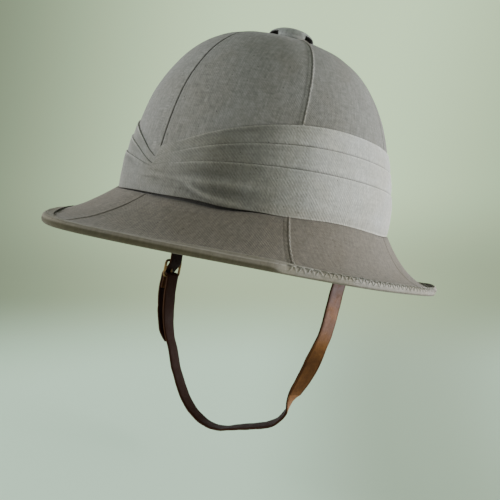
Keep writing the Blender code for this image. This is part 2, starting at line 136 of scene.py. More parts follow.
def unevenness(points: Array, seed: int, wave: float) -> Array:
    """Soft hills and hollows, mostly between -1 and 1: twice the mean of sine waves in space.

    Args:
        points: positions in metres, in any grid.
        seed: picks the waves' directions and phases.
        wave: the mean length of a wave in metres.

    Returns:
        One value per point.
    """
    waves = 12
    random = np.random.default_rng(seed)
    ways = random.normal(size=(waves, 3))
    lengths = np.linalg.norm(ways, axis=1, keepdims=True)
    ways *= (FULL_TURN / wave) * random.uniform(0.6, 1.5, (waves, 1)) / lengths
    phase = random.uniform(0.0, FULL_TURN, waves)
    return np.sin(points @ ways.T + phase).mean(axis=-1) * 2.0


def grid_normals(points: Array) -> Array:
    """Unit normals of a grid of rings: row direction crossed with column direction."""
    down = np.gradient(points, axis=0)
    wide = np.concatenate([points[:, -1:], points, points[:, :1]], axis=1)
    along = np.gradient(wide, axis=1)[:, 1:-1]
    normal = np.cross(down, along)
    return normal / np.maximum(np.linalg.norm(normal, axis=-1, keepdims=True), 1e-12)


def cloth_map(u: Array, points: Array, closed_rows: bool = True) -> Array:
    """Map positions of a cloth: given ones along its rows, and the mean way down the rows.

    Args:
        u: metres along the rows, by column or by row and column.
        points: positions by row and column.
        closed_rows: whether the last row meets the first.

    Returns:
        Map positions in metres by row and column.
    """
    rows = np.concatenate([points, points[:1]]) if closed_rows else points
    down = np.linalg.norm(np.diff(rows, axis=0), axis=-1).mean(axis=1)
    v = np.append(0.0, np.cumsum(down))
    return np.stack(np.broadcast_arrays(u, v[:, None]), axis=-1)


# ------------------------ mesh tools

def new_piece(name: str, mesh: bpy.types.Mesh) -> Piece:
    """Object of a finished mesh, shaded smooth and linked to the scene."""
    mesh.validate()
    mesh.shade_smooth()
    piece = bpy.data.objects.new(name, mesh)
    bpy.context.scene.collection.objects.link(piece)
    return piece


def grid_piece(
    name: str,
    points: Array,
    closed_rows: bool = False,
    closed_columns: bool = True,
    uv: Array | None = None,
    marks: dict[str, Array] | None = None,
) -> Piece:
    """Make a mesh object from a grid of points, each cell one quad.

    Args:
        name: the piece's name.
        points: positions by row and column; the outer side is where row x column points.
        closed_rows: whether the last row meets the first.
        closed_columns: whether the last column meets the first.
        uv: map positions in metres, with one more row or column where the grid is closed.
        marks: named values per point, for the materials.

    Returns:
        The new object, linked to the scene.
    """
    rows, columns = points.shape[:2]
    row_cells = rows if closed_rows else rows - 1
    column_cells = columns if closed_columns else columns - 1
    row, column = np.meshgrid(np.arange(row_cells), np.arange(column_cells), indexing="ij")
    steps = ((0, 0), (1, 0), (1, 1), (0, 1))
    corner = [((row + r) % rows) * columns + (column + c) % columns for r, c in steps]
    loops = np.stack(corner, axis=-1).reshape(-1)
    mesh = bpy.data.meshes.new(name)
    mesh.vertices.add(rows * columns)
    mesh.vertices.foreach_set("co", points.reshape(-1).astype(np.float32))
    mesh.loops.add(len(loops))
    mesh.loops.foreach_set("vertex_index", loops.astype(np.int32))
    mesh.polygons.add(len(loops) // 4)
    mesh.polygons.foreach_set("loop_start", np.arange(0, len(loops), 4, dtype=np.int32))
    mesh.update(calc_edges=True)
    if uv is not None:
        layer = mesh.uv_layers.new(name="cloth")
        wanted = [uv[row + r, column + c] for r, c in steps]
        layer.data.foreach_set("uv", np.stack(wanted, axis=2).reshape(-1).astype(np.float32))
    for mark, values in (marks or {}).items():
        layer = mesh.attributes.new(mark, "FLOAT", "POINT")
        layer.data.foreach_set("value", np.asarray(values, np.float32).reshape(-1))
    return new_piece(name, mesh)


def seal(piece: Piece, merge: bool = False, fill: bool = False) -> None:
    """Turn a mesh's faces outwards, once its poles and rims are closed.

    Args:
        piece: the object.
        merge: whether points that meet, as at a pole, become one.
        fill: whether each open rim gets a fan of faces round its middle.
    """
    work = bmesh.new()
    work.from_mesh(piece.data)
    if merge:
        bmesh.ops.remove_doubles(work, verts=work.verts, dist=0.001 * MM)
    if fill:
        rims = [edge for edge in work.edges if edge.is_boundary]
        made = bmesh.ops.holes_fill(work, edges=rims, sides=0)
        bmesh.ops.poke(work, faces=made["faces"])
        for face in work.faces:
            face.smooth = True
    bmesh.ops.recalc_face_normals(work, faces=work.faces)
    work.to_mesh(piece.data)
    work.free()


def tube_rings(middle: Array, normal: Array, radius: float) -> Array:
    """Rings of points round many short threads, thin at both ends.

    A ring's size falls with the sixth power of the distance from the thread's middle.

    Args:
        middle: positions along each thread.
        normal: the direction away from the cloth at each position.
        radius: the thread's radius in metres.

    Returns:
        Positions by thread, ring and side.
    """
    sides, taper = 6, 0.65
    across = np.cross(normal, unit(np.gradient(middle, axis=1)))[:, :, None, :]
    turn = np.linspace(0.0, FULL_TURN, sides, endpoint=False)[:, None]
    share = np.linspace(-1.0, 1.0, middle.shape[1])
    size = radius * (1.0 - taper * share ** 6)[None, :, None, None]
    return middle[:, :, None, :] + size * (
        across * np.cos(turn) + normal[:, :, None, :] * np.sin(turn))


def many_tubes(name: str, tube: Array) -> Piece:
    """One mesh of many short closed tubes: quads along each, and a fan of faces at each end.

    Args:
        name: the piece's name.
        tube: positions by tube, ring and side.

    Returns:
        The object.
    """
    tubes, rings, sides = tube.shape[:3]
    ends = tube[:, (0, -1)].mean(axis=2)
    size = rings * sides + 2
    points = np.concatenate([tube.reshape(tubes, -1, 3), ends], axis=1).reshape(-1, 3)
    ring, side = np.meshgrid(np.arange(rings - 1), np.arange(sides), indexing="ij")
    after = (side + 1) % sides
    quads = np.stack([ring * sides + side, ring * sides + after,
                      (ring + 1) * sides + after, (ring + 1) * sides + side], axis=-1)
    side, after, last = side[0], after[0], (rings - 1) * sides
    low = np.stack([np.full(sides, size - 2), after, side], axis=-1)
    high = np.stack([np.full(sides, size - 1), last + side, last + after], axis=-1)
    start = np.arange(tubes)[:, None, None] * size
    quads = (quads.reshape(-1, 4)[None] + start).reshape(-1, 4)
    triangles = (np.concatenate([low, high])[None] + start).reshape(-1, 3)
    mesh = bpy.data.meshes.new(name)
    mesh.from_pydata(points.tolist(), [], quads.tolist() + triangles.tolist())
    layer = mesh.uv_layers.new(name="cloth")
    loops = np.zeros(len(mesh.loops), dtype=np.int32)
    mesh.loops.foreach_get("vertex_index", loops)
    layer.data.foreach_set("uv", points[loops, :2].reshape(-1).astype(np.float32))
    piece = new_piece(name, mesh)
    seal(piece)
    return piece


# ------------------------ node tools

def add_node(tree: Tree, kind: str, inputs: dict | None = None, **settings) -> Node:
    """Add a node, set its properties, and fill or link its inputs.

    Args:
        tree: the node tree.
        kind: the node's type, without the word ShaderNode.
        inputs: values or output sockets by the input's name or number.
        settings: the node's own properties.

    Returns:
        The node.
    """
    made = tree.nodes.new(f"ShaderNode{kind}")
    for name, value in settings.items():
        setattr(made, name, value)
    for name, value in (inputs or {}).items():
        if isinstance(value, Socket):
            tree.links.new(value, made.inputs[name])
        else:
            made.inputs[name].default_value = value
    return made


def maths(tree: Tree, operation: str, *values: Value) -> Socket:
    """Output of a Math node on values or sockets."""
    return add_node(tree, "Math", dict(enumerate(values)), operation=operation).outputs[0]


def mixed(tree: Tree, share: Value, first: Colour | Socket, second: Colour | Socket,
          blend: str = "MIX") -> Socket:
    """Output of a colour Mix node."""
    inputs = {0: share}
    for number, colour in ((6, first), (7, second)):
        inputs[number] = colour if isinstance(colour, Socket) else (*colour, 1.0)
    made = add_node(tree, "Mix", inputs, data_type="RGBA", blend_type=blend, clamp_factor=True)
    return made.outputs[2]


def stepped(tree: Tree, value: Socket, low: float, high: float) -> Socket:
    """Output of a Map Range node that eases from 0 at low to 1 at high."""
    inputs = {"Value": value, "From Min": low, "From Max": high}
    return add_node(tree, "MapRange", inputs, interpolation_type="SMOOTHSTEP").outputs["Result"]


def window(tree: Tree, value: Socket, up: Range, down: Range) -> Socket:
    """A step up over one range of a value, less a step over a later one."""
    return maths(tree, "SUBTRACT", stepped(tree, value, *up), stepped(tree, value, *down))


def noise(tree: Tree, place: Socket, scale: Value, detail: float, **more: float) -> Socket:
    """Value of a noise texture; more sets its other inputs by name."""
    inputs = {"Vector": place, "Scale": scale, "Detail": detail, **more}
    return add_node(tree, "TexNoise", inputs).outputs["Fac"]


def grey(tree: Tree, value: Socket) -> Socket:
    """Grey of a value, as a colour."""
    return add_node(tree, "CombineColor", {0: value, 1: value, 2: value}).outputs[0]


def effect(tree: Tree, group: Tree, **inputs: Value) -> bpy.types.NodeOutputs:
    """Outputs of a shared effect, placed in a tree with its own values."""
    return add_node(tree, "Group", inputs, node_tree=group).outputs


def marks_of(tree: Tree, *names: str) -> list[Socket]:
    """The named values that a piece's mesh carries."""
    return [add_node(tree, "Attribute", attribute_name=name).outputs["Fac"] for name in names]


def new_group(
    name: str, inputs: dict[str, tuple], outputs: tuple[str, ...],
) -> tuple[Tree, Node, Node]:
    """Start a node group with named sockets.

    Args:
        name: the group's name.
        inputs: socket kind and default by name.
        outputs: names of the outputs, each a plain value.

    Returns:
        The tree, its input node and its output node.
    """
    tree = bpy.data.node_groups.new(name, "ShaderNodeTree")
    for socket, (kind, default) in inputs.items():
        made = tree.interface.new_socket(socket, in_out="INPUT", socket_type=f"NodeSocket{kind}")
        if default is not None:
            made.default_value = default
    for socket in outputs:
        tree.interface.new_socket(socket, in_out="OUTPUT", socket_type="NodeSocketFloat")
    return tree, tree.nodes.new("NodeGroupInput"), tree.nodes.new("NodeGroupOutput")


def new_material(name: str) -> tuple[bpy.types.Material, Tree, Node, Socket]:
    """Start a material.

    Args:
        name: the material's name.

    Returns:
        The material, its tree, its Principled shader and the place on the object.
    """
    material = bpy.data.materials.new(name)
    material.use_nodes = True
    tree = material.node_tree
    place = add_node(tree, "TexCoord").outputs["Object"]
    return material, tree, tree.nodes["Principled BSDF"], place


def finish_surface(tree: Tree, shader: Node, colour: Socket, rough: Socket,
                   height: Socket, depth: float, strength: float) -> None:
    """Link a surface's colour, roughness and fine relief to its shader.

    Args:
        tree: the material's tree.
        shader: its Principled shader.
        colour: the base colour.
        rough: the roughness.
        height: the relief between 0 and about 1.
        depth: the relief's depth in metres.
        strength: the share of the relief that shows.
    """
    bump = add_node(tree, "Bump", {"Height": height, "Distance": depth, "Strength": strength})
    for name, socket in (("Base Color", colour), ("Roughness", rough), ("Normal", bump.outputs[0])):
        tree.links.new(socket, shader.inputs[name])


# ------------------------ shared effects

@dataclass(frozen=True)
class Weave:
    """Woven threads: two crossed sine waves, of which twill shows the diagonal."""

    wobble_scale: float = 90.0
    wobble: float = 5.0
    plain_scale: float = 1.7
    patch_scale: float = 210.0
    patch_range: Range = (0.28, 0.66)
    streaks: tuple[Triple, ...] = ((860.0, 85.0, 1.0), (95.0, 760.0, 1.0))
    streak_shares: Range = (0.6, 0.4)

    def group(self) -> Tree:
        """The node group: the weave's height, and the tone of its single threads."""
        tree, given, out = new_group(
            "woven threads",
            {"Place": ("Vector", None), "Pitch": ("Float", 0.001), "Twill": ("Float", 0.5)},
            ("Height", "Thread"))
        place, pitch, twill = given.outputs[:3]
        waves = maths(tree, "DIVIDE", FULL_TURN, pitch)
        scaled = add_node(tree, "VectorMath", {0: place, 3: waves}, operation="SCALE")
        across, along = add_node(tree, "SeparateXYZ", {0: scaled.outputs[0]}).outputs[:2]
        shift = maths(tree, "MULTIPLY", noise(tree, place, self.wobble_scale, 2.0), self.wobble)
        slant = maths(tree, "ADD", maths(tree, "SUBTRACT", across, along), shift)
        crossed = [
            maths(tree, "SINE", maths(tree, "MULTIPLY_ADD", way, self.plain_scale, shift))
            for way in (across, along)]
        patches = stepped(tree, noise(tree, place, self.patch_scale, 3.0), *self.patch_range)
        height = maths(
            tree, "ADD",
            maths(tree, "MULTIPLY", maths(tree, "SINE", slant),
                  maths(tree, "MULTIPLY", twill, patches)),
            maths(tree, "MULTIPLY", maths(tree, "MULTIPLY", *crossed),
                  maths(tree, "SUBTRACT", 1.0, twill)))
        tree.links.new(maths(tree, "MULTIPLY_ADD", height, 0.5, 0.5), out.inputs["Height"])
        first, second = (
            noise(tree, add_node(tree, "Mapping", {"Vector": place, "Scale": size}).outputs[0],
                  1.0, 2.0)
            for size in self.streaks)
        thread = maths(tree, "MULTIPLY_ADD", first, self.streak_shares[0],
                       maths(tree, "MULTIPLY", second, self.streak_shares[1]))
        tree.links.new(thread, out.inputs["Thread"])
        return tree


@dataclass(frozen=True)
class Age:
    """Years of use: broad blotches of soil, fine mottling, and sparse dark specks."""

    blotch_range: Range = (0.36, 0.68)
    blotch_form: Range = (0.62, 0.35)
    fine_roughness: float = 0.7
    speck_range: Range = (0.1, 0.26)

    def group(self) -> Tree:
        """The node group: three masks."""
        tree, given, out = new_group(
            "years of use",
            {"Place": ("Vector", None), "Blotch": ("Float", 22.0), "Fine": ("Float", 390.0),
             "Specks": ("Float", 400.0), "Share": ("Float", 0.05)},
            ("Blotches", "Mottle", "Speck"))
        place, blotch, fine, specks, share = given.outputs[:5]
        roughness, distortion = self.blotch_form
        broad = noise(tree, place, blotch, 5.0, Roughness=roughness, Distortion=distortion)
        cells = add_node(tree, "TexVoronoi", {"Vector": place, "Scale": specks})
        far = stepped(tree, cells.outputs["Distance"], *self.speck_range)
        cell = add_node(tree, "SeparateColor", {0: cells.outputs["Color"]})
        speck = maths(tree, "MULTIPLY", maths(tree, "SUBTRACT", 1.0, far),
                      maths(tree, "LESS_THAN", cell.outputs[0], share))
        for name, mask in (
            ("Blotches", stepped(tree, broad, *self.blotch_range)),
            ("Mottle", noise(tree, place, fine, 4.0, Roughness=self.fine_roughness)),
            ("Speck", speck),
        ):
            tree.links.new(mask, out.inputs[name])
        return tree


@dataclass(frozen=True)
class Grain:
    """The grain of hide: pebbled cells, with broad wrinkles between."""

    pebble: float = 0.6
    fine: float = 0.5
    wrinkle_scale: float = 140.0
    wrinkle_distortion: float = 0.8

    def group(self) -> Tree:
        """The node group: the grain's height, and its wrinkles."""
        tree, given, out = new_group(
            "grain", {"Place": ("Vector", None), "Scale": ("Float", 900.0)},
            ("Height", "Wrinkle"))
        place, scale = given.outputs[:2]
        cells = add_node(tree, "TexVoronoi", {"Vector": place, "Scale": scale})
        fine = maths(tree, "MULTIPLY", noise(tree, place, scale, 4.0), self.fine)
        height = maths(tree, "MULTIPLY_ADD", cells.outputs["Distance"], self.pebble, fine)
        tree.links.new(height, out.inputs["Height"])
        wide = noise(tree, place, self.wrinkle_scale, 5.0, Distortion=self.wrinkle_distortion)
        tree.links.new(wide, out.inputs["Wrinkle"])
        return tree


class Effects:
    """The shared node groups: each is built once and placed in several materials."""

    def __init__(self) -> None:
        """Build the three groups."""
        self.weave, self.age, self.grain = Weave().group(), Age().group(), Grain().group()


# ------------------------ finishes

@dataclass(frozen=True)
class ClothFinish:
    """A cotton cloth: its colours, the size of its weave, and its wear, with painted shade and
    painted highlight.

    Rough is the least roughness and how far mottling raises it, and relief_shares are the parts
    of mottling and single threads in the relief.
    """

    name: str
    colour: Colour
    faded: Colour
    soil: Colour
    # The stain colour also paints shade on the binding's lower half; the crease colour darkens
    # specks and dark lines, and paints shade in folds, gaps and hollows.
    stain_and_shade: Colour
    crease_and_shade: Colour
    pitch: float
    twill: float
    relief: float
    contrast: float = 0.14
    soiling: float = 0.4
    mottling: float = 0.3
    speck_share: float = 0.05
    speck_depth: float = 0.55
    # This lightening shows wear, and paints highlights on fold edges and ridges.
    rubbed_and_highlight: Colour = (1.6, 1.6, 1.6)
    rough: Range = (0.84, 0.12)
    specular: float = 0.18
    sheen: float = 0.12
    sheen_rough: float = 0.5
    relief_shares: Range = (0.6, 0.8)

    def material(self, effects: Effects) -> bpy.types.Material:
        """Build the cloth from its marks: fade, stain, dark lines, wear, painted shade and painted
        highlight, then weave and specks.

        Args:
            effects: the shared node groups.

        Returns:
            The material.
        """
        material, tree, shader, place = new_material(self.name)
        flat = add_node(tree, "UVMap", uv_map="cloth").outputs["UV"]
        weave = effect(tree, effects.weave, Place=flat, Pitch=self.pitch, Twill=self.twill)
        age = effect(tree, effects.age, Place=place, Share=self.speck_share)
        fade, stain_and_shade, crease_and_shade, wear_and_highlight = marks_of(tree, "fade", "stain_and_shade", "crease_and_shade", "wear_and_highlight")
        base = mixed(tree, stain_and_shade, mixed(tree, fade, self.colour, self.faded), self.stain_and_shade)
        soiled = mixed(tree, 1.0, base, self.soil, "MULTIPLY")
        base = mixed(tree, maths(tree, "MULTIPLY", age["Blotches"], self.soiling), base, soiled)
        # Lightening for wear, and painted highlight.
        base = mixed(tree, wear_and_highlight, base, mixed(tree, 1.0, base, self.rubbed_and_highlight, "MULTIPLY"))
        tone = maths(tree, "MULTIPLY_ADD", weave["Height"], self.contrast,
                     1.0 - 0.5 * self.contrast)
        for value in (weave["Thread"], age["Mottle"]):
            swing = maths(tree, "MULTIPLY_ADD", value, 2.0 * self.mottling, 1.0 - self.mottling)
            tone = maths(tree, "MULTIPLY", tone, swing)
        base = mixed(tree, 1.0, base, grey(tree, tone), "MULTIPLY")
        specks = maths(tree, "MULTIPLY", age["Speck"], self.speck_depth)
        # Specks, dark lines and painted shade take the dark colour.
        base = mixed(tree, maths(tree, "MAXIMUM", specks, crease_and_shade), base, self.crease_and_shade)
        least, swing = self.rough
        rough = maths(tree, "MULTIPLY_ADD", age["Mottle"], swing, least)
        mottle, thread = self.relief_shares
        height = maths(tree, "MULTIPLY_ADD", age["Mottle"], mottle, maths(
            tree, "MULTIPLY_ADD", weave["Thread"], thread, weave["Height"]))
        finish_surface(tree, shader, base, rough, height, self.relief, 0.8)
        shader.inputs["Specular IOR Level"].default_value = self.specular
        shader.inputs["Sheen Weight"].default_value = self.sheen
        shader.inputs["Sheen Roughness"].default_value = self.sheen_rough
        return material


@dataclass(frozen=True)
class LeatherFinish:
    """Vegetable-tanned strap leather, paler with wear on its outer face, and dark on its inner one,
    which is partly painted shade.
    """

    name: str
    outer: Colour
    rubbed_and_highlight: Colour
    # The inner colour is the flesh side darkened further as painted shade, and the edge colour also
    # paints shade on the strap's darker stretches.
    inner: Colour
    edge: Colour
    grain_scale: float = 1100.0
    blotch_scale: float = 45.0
    dark_specks: float = 0.2
    blotching: float = 0.6
    mottling: float = 0.35
    patch_range: Range = (0.3, 0.6)
    patch_swing: float = 0.4
    rough: Range = (0.5, 0.3)
    specular: float = 0.06
    wrinkling: float = 1.4
    relief: float = 0.3 * MM

    def material(self, effects: Effects) -> bpy.types.Material:
        """Build the leather from the strap's own marks: face, edge, wear, and darkness along the
        length, which is partly painted shade.

        Args:
            effects: the shared node groups.

        Returns:
            The material.
        """
        material, tree, shader, place = new_material(self.name)
        grain = effect(tree, effects.grain, Place=place, Scale=self.grain_scale)
        age = effect(
            tree, effects.age, Place=place, Blotch=self.blotch_scale, Share=self.dark_specks)
        inside, edge, wear_and_highlight, dark = marks_of(tree, "inside", "edge", "wear_and_highlight", "crease_and_shade")
        blotches = maths(tree, "MULTIPLY", age["Blotches"], self.blotching)
        base = mixed(tree, blotches, self.outer, self.edge)
        patchy = maths(tree, "MULTIPLY_ADD", stepped(tree, grain["Wrinkle"], *self.patch_range),
                       self.patch_swing, 1.0 - self.patch_swing)
        base = mixed(tree, maths(tree, "MULTIPLY", wear_and_highlight, patchy), base, self.rubbed_and_highlight)
        base = mixed(tree, maths(tree, "MULTIPLY", age["Mottle"], self.mottling), base, self.edge)
        # Painted shade: the inner face, and the dark mark drawn in the edge colour.
        base = mixed(tree, inside, base, self.inner)
        base = mixed(tree, maths(tree, "MAXIMUM", edge, dark), base, self.edge)
        least, swing = self.rough
        rough = maths(tree, "MULTIPLY_ADD", grain["Wrinkle"], swing, least)
        height = maths(tree, "MULTIPLY_ADD", grain["Wrinkle"], self.wrinkling, grain["Height"])
        finish_surface(tree, shader, base, rough, height, self.relief, 0.7)
        shader.inputs["Specular IOR Level"].default_value = self.specular
        return material


@dataclass(frozen=True)
class MetalFinish:
    """Old brass with blotches of brown bloom."""

    name: str
    bright: Colour
    bloom: Colour
    bloom_scale: float = 160.0
    pit_scale: float = 900.0
    rough: Range = (0.25, 0.35)
    relief: float = 0.1 * MM

    def material(self, effects: Effects) -> bpy.types.Material:
        """Build the metal: bloom by blotches, fine pitting as bump.

        Args:
            effects: the shared node groups.

        Returns:
            The material.
        """
        material, tree, shader, place = new_material(self.name)
        age = effect(
            tree, effects.age, Place=place, Blotch=self.bloom_scale, Fine=self.pit_scale)
        base = mixed(tree, age["Blotches"], self.bright, self.bloom)
        least, swing = self.rough
        rough = maths(tree, "MULTIPLY_ADD", age["Mottle"], swing, least)
        finish_surface(tree, shader, base, rough, age["Mottle"], self.relief, 0.5)
        shader.inputs["Metallic"].default_value = 1.0
        return material


class Finish(Enum):
    """The finishes on this helmet."""

    SHELL = ClothFinish(
        "worn_khaki_cloth", colour=(0.255, 0.253, 0.232), faded=(0.35, 0.365, 0.345),
        soil=(0.82, 0.76, 0.66), stain_and_shade=(0.215, 0.191, 0.158), crease_and_shade=(0.018, 0.016, 0.012),
        pitch=1.9 * MM, twill=0.6, relief=0.17 * MM, contrast=0.28, mottling=0.5)
    BAND = ClothFinish(
        "faded_band_cloth", colour=(0.170, 0.168, 0.143), faded=(0.56, 0.565, 0.535),
        soil=(0.86, 0.80, 0.66), stain_and_shade=(0.31, 0.27, 0.19), crease_and_shade=(0.022, 0.021, 0.015),
        pitch=2.3 * MM, twill=0.85, relief=0.22 * MM, contrast=0.34, mottling=0.4)
    BINDING = ClothFinish(
        "soiled_binding_cloth", colour=(0.25, 0.228, 0.182), faded=(0.375, 0.35, 0.31),
        soil=(0.74, 0.68, 0.5), stain_and_shade=(0.085, 0.076, 0.044), crease_and_shade=(0.018, 0.016, 0.010),
        pitch=1.5 * MM, twill=0.2, relief=0.14 * MM, soiling=0.5)
    THREAD = ClothFinish(
        "pale_thread", colour=(0.46, 0.445, 0.405), faded=(0.4, 0.4, 0.38),
        soil=(0.7, 0.64, 0.5), stain_and_shade=(0.2, 0.18, 0.12), crease_and_shade=(0.05, 0.045, 0.03),
        pitch=0.6 * MM, twill=1.0, relief=0.06 * MM, soiling=0.6, speck_share=0.0)
    STRAP = LeatherFinish(
        "worn_strap_leather", outer=(0.41, 0.178, 0.045), rubbed_and_highlight=(0.40, 0.29, 0.30),
        inner=(0.008, 0.003, 0.002), edge=(0.024, 0.008, 0.003))
    BRASS = MetalFinish("dull_brass", bright=srgb(128, 104, 64), bloom=srgb(58, 44, 28))


class Wardrobe:
    """Builds each finish once and dresses the pieces in it."""

    def __init__(self) -> None:
        """Build the shared effects; the finishes follow as they are asked for."""
        self.effects = Effects()
        self.made: dict[Finish, bpy.types.Material] = {}

    def dress(self, piece: Piece, finish: Finish, slot: str, rides: bool = True) -> None:
        """Give a piece its material, and let it ride the body.

        Args:
            piece: the object.
            finish: one of the finishes.
            slot: not used.
            rides: False for a solid of the frame, which has its place already.
        """
        if finish not in self.made:
            self.made[finish] = finish.value.material(self.effects)
        piece.data.materials.clear()
        piece.data.materials.append(self.made[finish])
        if rides:
            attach(piece, BODY)
        LOG.info("%s: %d faces, %s", piece.name, len(piece.data.polygons), finish.value.name)


# ------------------------ the form

@dataclass(frozen=True)
class HelmetForm:
    """The helmet's surfaces, the same as those of the solids."""

    half_length: float = 110.1 * MM
    half_width: float = 95.1 * MM
    height: float = 130.6 * MM
    height_power: float = 2.04
    round_power: float = 2.81
    lean: float = -5.7 * MM
    wall: float = 3.0 * MM
    foot_step: float = 3.9 * MM
    brim_side: float = 130.1 * MM
    brim_front: float = 164.6 * MM
    brim_back: float = 176.7 * MM
    brim_peak: float = 17.9 * MM
    peak_spread: float = math.radians(22)
    front_power: float = 1.81
    back_power: float = 2.26
    power_turn: float = 4.0
    drop: float = 30.9 * MM
    drop_to_back: float = 5.1 * MM
    drop_ends: float = 1.7 * MM
    vent_x: float = 2.0 * MM
    vent_y: float = -4.0 * MM
    vent_radius: float = 10.6 * MM
    seam_drift: float = math.radians(8)
    foot_heights: Rows = (
        (-180, 0.0), (-120, 0.5), (-75, 2.2), (-35, -3.6), (0, -2.2),
        (28, -1.6), (50, 1.4), (75, 3.8), (115, 0.6), (180, 0.0))
    brim_hollows: Rows = ((0, 2.1), (45, 1.35), (90, 2.4), (135, 2.05), (180, 1.65))
    angle_step: float = 0.002
    height_step: float = 0.2 * MM
    share_step: float = 0.02

    @staticmethod
    def _eased(value: Array, rows: Rows) -> Array:
        """Value of a table of (place, value) rows, eased by a cosine between its rows."""
        places, values = np.array(rows).T
        row = np.clip(np.searchsorted(places, value, side="right") - 1, 0, len(places) - 2)
        share = (value - places[row]) / (places[row + 1] - places[row])
        ease = 0.5 - 0.5 * np.cos(math.pi * share)
        return values[row] + (values[row + 1] - values[row]) * ease

    def foot(self, angle: Array) -> Array:
        """Height of the line where crown and brim meet."""
        return self._eased(np.degrees(signed(angle)), self.foot_heights) * MM

    def _crown(self, angle: Array, height: Array) -> Array:
        """Point on the crown itself; its formula is given at crown."""
        rise = np.clip(height / self.height, 0.0, 1.0)
        girth = (1.0 - rise ** self.height_power) ** (1.0 / self.round_power)
        return np.stack([
            self.half_width * girth * np.sin(angle),
            -self.half_length * girth * np.cos(angle) + self.lean * rise,
            height + 0.0 * angle,
        ], axis=-1)

    def crown(self, angle: Array, height: Array, out: Array | float = 0.0) -> Array:
        """Point on the crown, moved outwards along the normal.

        The level curves are ellipses. Their size falls with the height h as (1 - h^a)^(1/b),
        and their middle leans forward in step with h.

        Args:
            angle: angles round the helmet.
            height: heights over the solids' zero.
            out: distance outwards from the surface.

        Returns:
            The points.
        """
        turn, step = self.angle_step, self.height_step
        height = np.minimum(height, self.height - 1.5 * step)
        along = self._crown(angle + turn, height) - self._crown(angle - turn, height)
        rise = self._crown(angle, height + step) - self._crown(angle, height - step)
        normal = unit(np.cross(along, rise))
        return self._crown(angle, height) + normal * np.asarray(out)[..., None]

    def brim_edge(self, angle: Array) -> Array:
        """The brim's edge: a superellipse with a drawn-out front, lower at the back."""
        front, side = np.cos(angle), np.sin(angle)
        blend = 0.5 * (1.0 + np.tanh(self.power_turn * front))
        power = self.front_power * blend + self.back_power * (1.0 - blend)
        peak = self.brim_peak * np.exp(-(signed(angle) / self.peak_spread) ** 2)
        reach = np.where(front > 0.0, self.brim_front, self.brim_back)
        drop = self.drop - self.drop_to_back * front + self.drop_ends * np.cos(2.0 * angle)
        return np.stack([
            self.brim_side * np.sign(side) * np.abs(side) ** (2.0 / power),
            -reach * np.sign(front) * np.abs(front) ** (2.0 / power) - peak,
            -drop,
        ], axis=-1)

    def brim(self, angle: Array, share: Array) -> Array:
        """Point on the brim's upper face: level from foot to edge, falling by a power curve.

        Args:
            angle: angles round the helmet.
            share: 0 at the foot and 1 at the edge.

        Returns:
            The points.
        """
        power = self._eased(np.abs(np.degrees(signed(angle))), self.brim_hollows)
        foot = self._crown(angle, self.foot(angle))
        foot[..., 0] *= 1.0 + self.foot_step / self.half_width
        foot[..., 1] *= 1.0 + self.foot_step / self.half_length
        edge = self.brim_edge(angle)
        point = foot + (edge - foot) * np.asarray(share)[..., None]
        fall = 1.0 - (1.0 - share) ** power
        point[..., 2] = foot[..., 2] + (edge[..., 2] - foot[..., 2]) * fall
        return point

    def brim_width(self, angle: Array) -> Array:
        """Straight distance from the brim's foot to its edge."""
        foot = np.zeros_like(angle)
        return np.linalg.norm(self.brim(angle, foot + 1.0) - self.brim(angle, foot), axis=-1)

    def brim_axes(self, angle: Array, share: Array) -> tuple[Array, Array]:
        """Directions of the brim's upper face at a point.

        Args:
            angle: angles round the helmet.
            share: 0 at the foot and 1 at the edge.

        Returns:
            The unit normal, and the unit direction outwards in the face.
        """
        turn = self.angle_step
        along = self.brim(angle + turn, share) - self.brim(angle - turn, share)
        outward = self.brim(angle, share) - self.brim(angle, share - self.share_step)
        normal = unit(np.cross(outward, along))
        return normal, unit(np.cross(along, normal))


# ------------------------ shell

@dataclass(frozen=True)
class SeamLine:
    """One line along a seam: a ridge, a groove or a mark, as a bell curve across it."""

    at: float
    width: float
    height: float = 0.0
    dark: float = 0.0
    wear_and_highlight: float = 0.0
    both_sides: bool = False

    def strength(self, distance: Array) -> Array:
        """Share of the line's full strength, by distance from the seam."""
        return bell(np.abs(distance) if self.both_sides else distance, self.at, self.width)


class SeamStyle(Enum):
    """How two pieces of the cover are joined, by the lines that lie along the seam."""

    BUTTED = (
        SeamLine(1.5 * MM, 0.7 * MM, height=0.14 * MM, both_sides=True),
        SeamLine(0.0, 0.34 * MM, height=-0.4 * MM, dark=0.95),
    )
    LAPPED = (
        SeamLine(0.45 * MM, 0.42 * MM, height=0.5 * MM, wear_and_highlight=1.0),
        SeamLine(-0.38 * MM, 0.17 * MM, height=-0.2 * MM, dark=0.36),
        SeamLine(-3.5 * MM, 0.6 * MM, height=-0.22 * MM, dark=0.17),
        SeamLine(-1.9 * MM, 0.9 * MM, wear_and_highlight=0.26),
    )

    def total(self, effect: str, distance: Array) -> Array:
        """Sum of one effect of the style's lines, by distance from the seam."""
        return sum(getattr(line, effect) * line.strength(distance) for line in self.value)


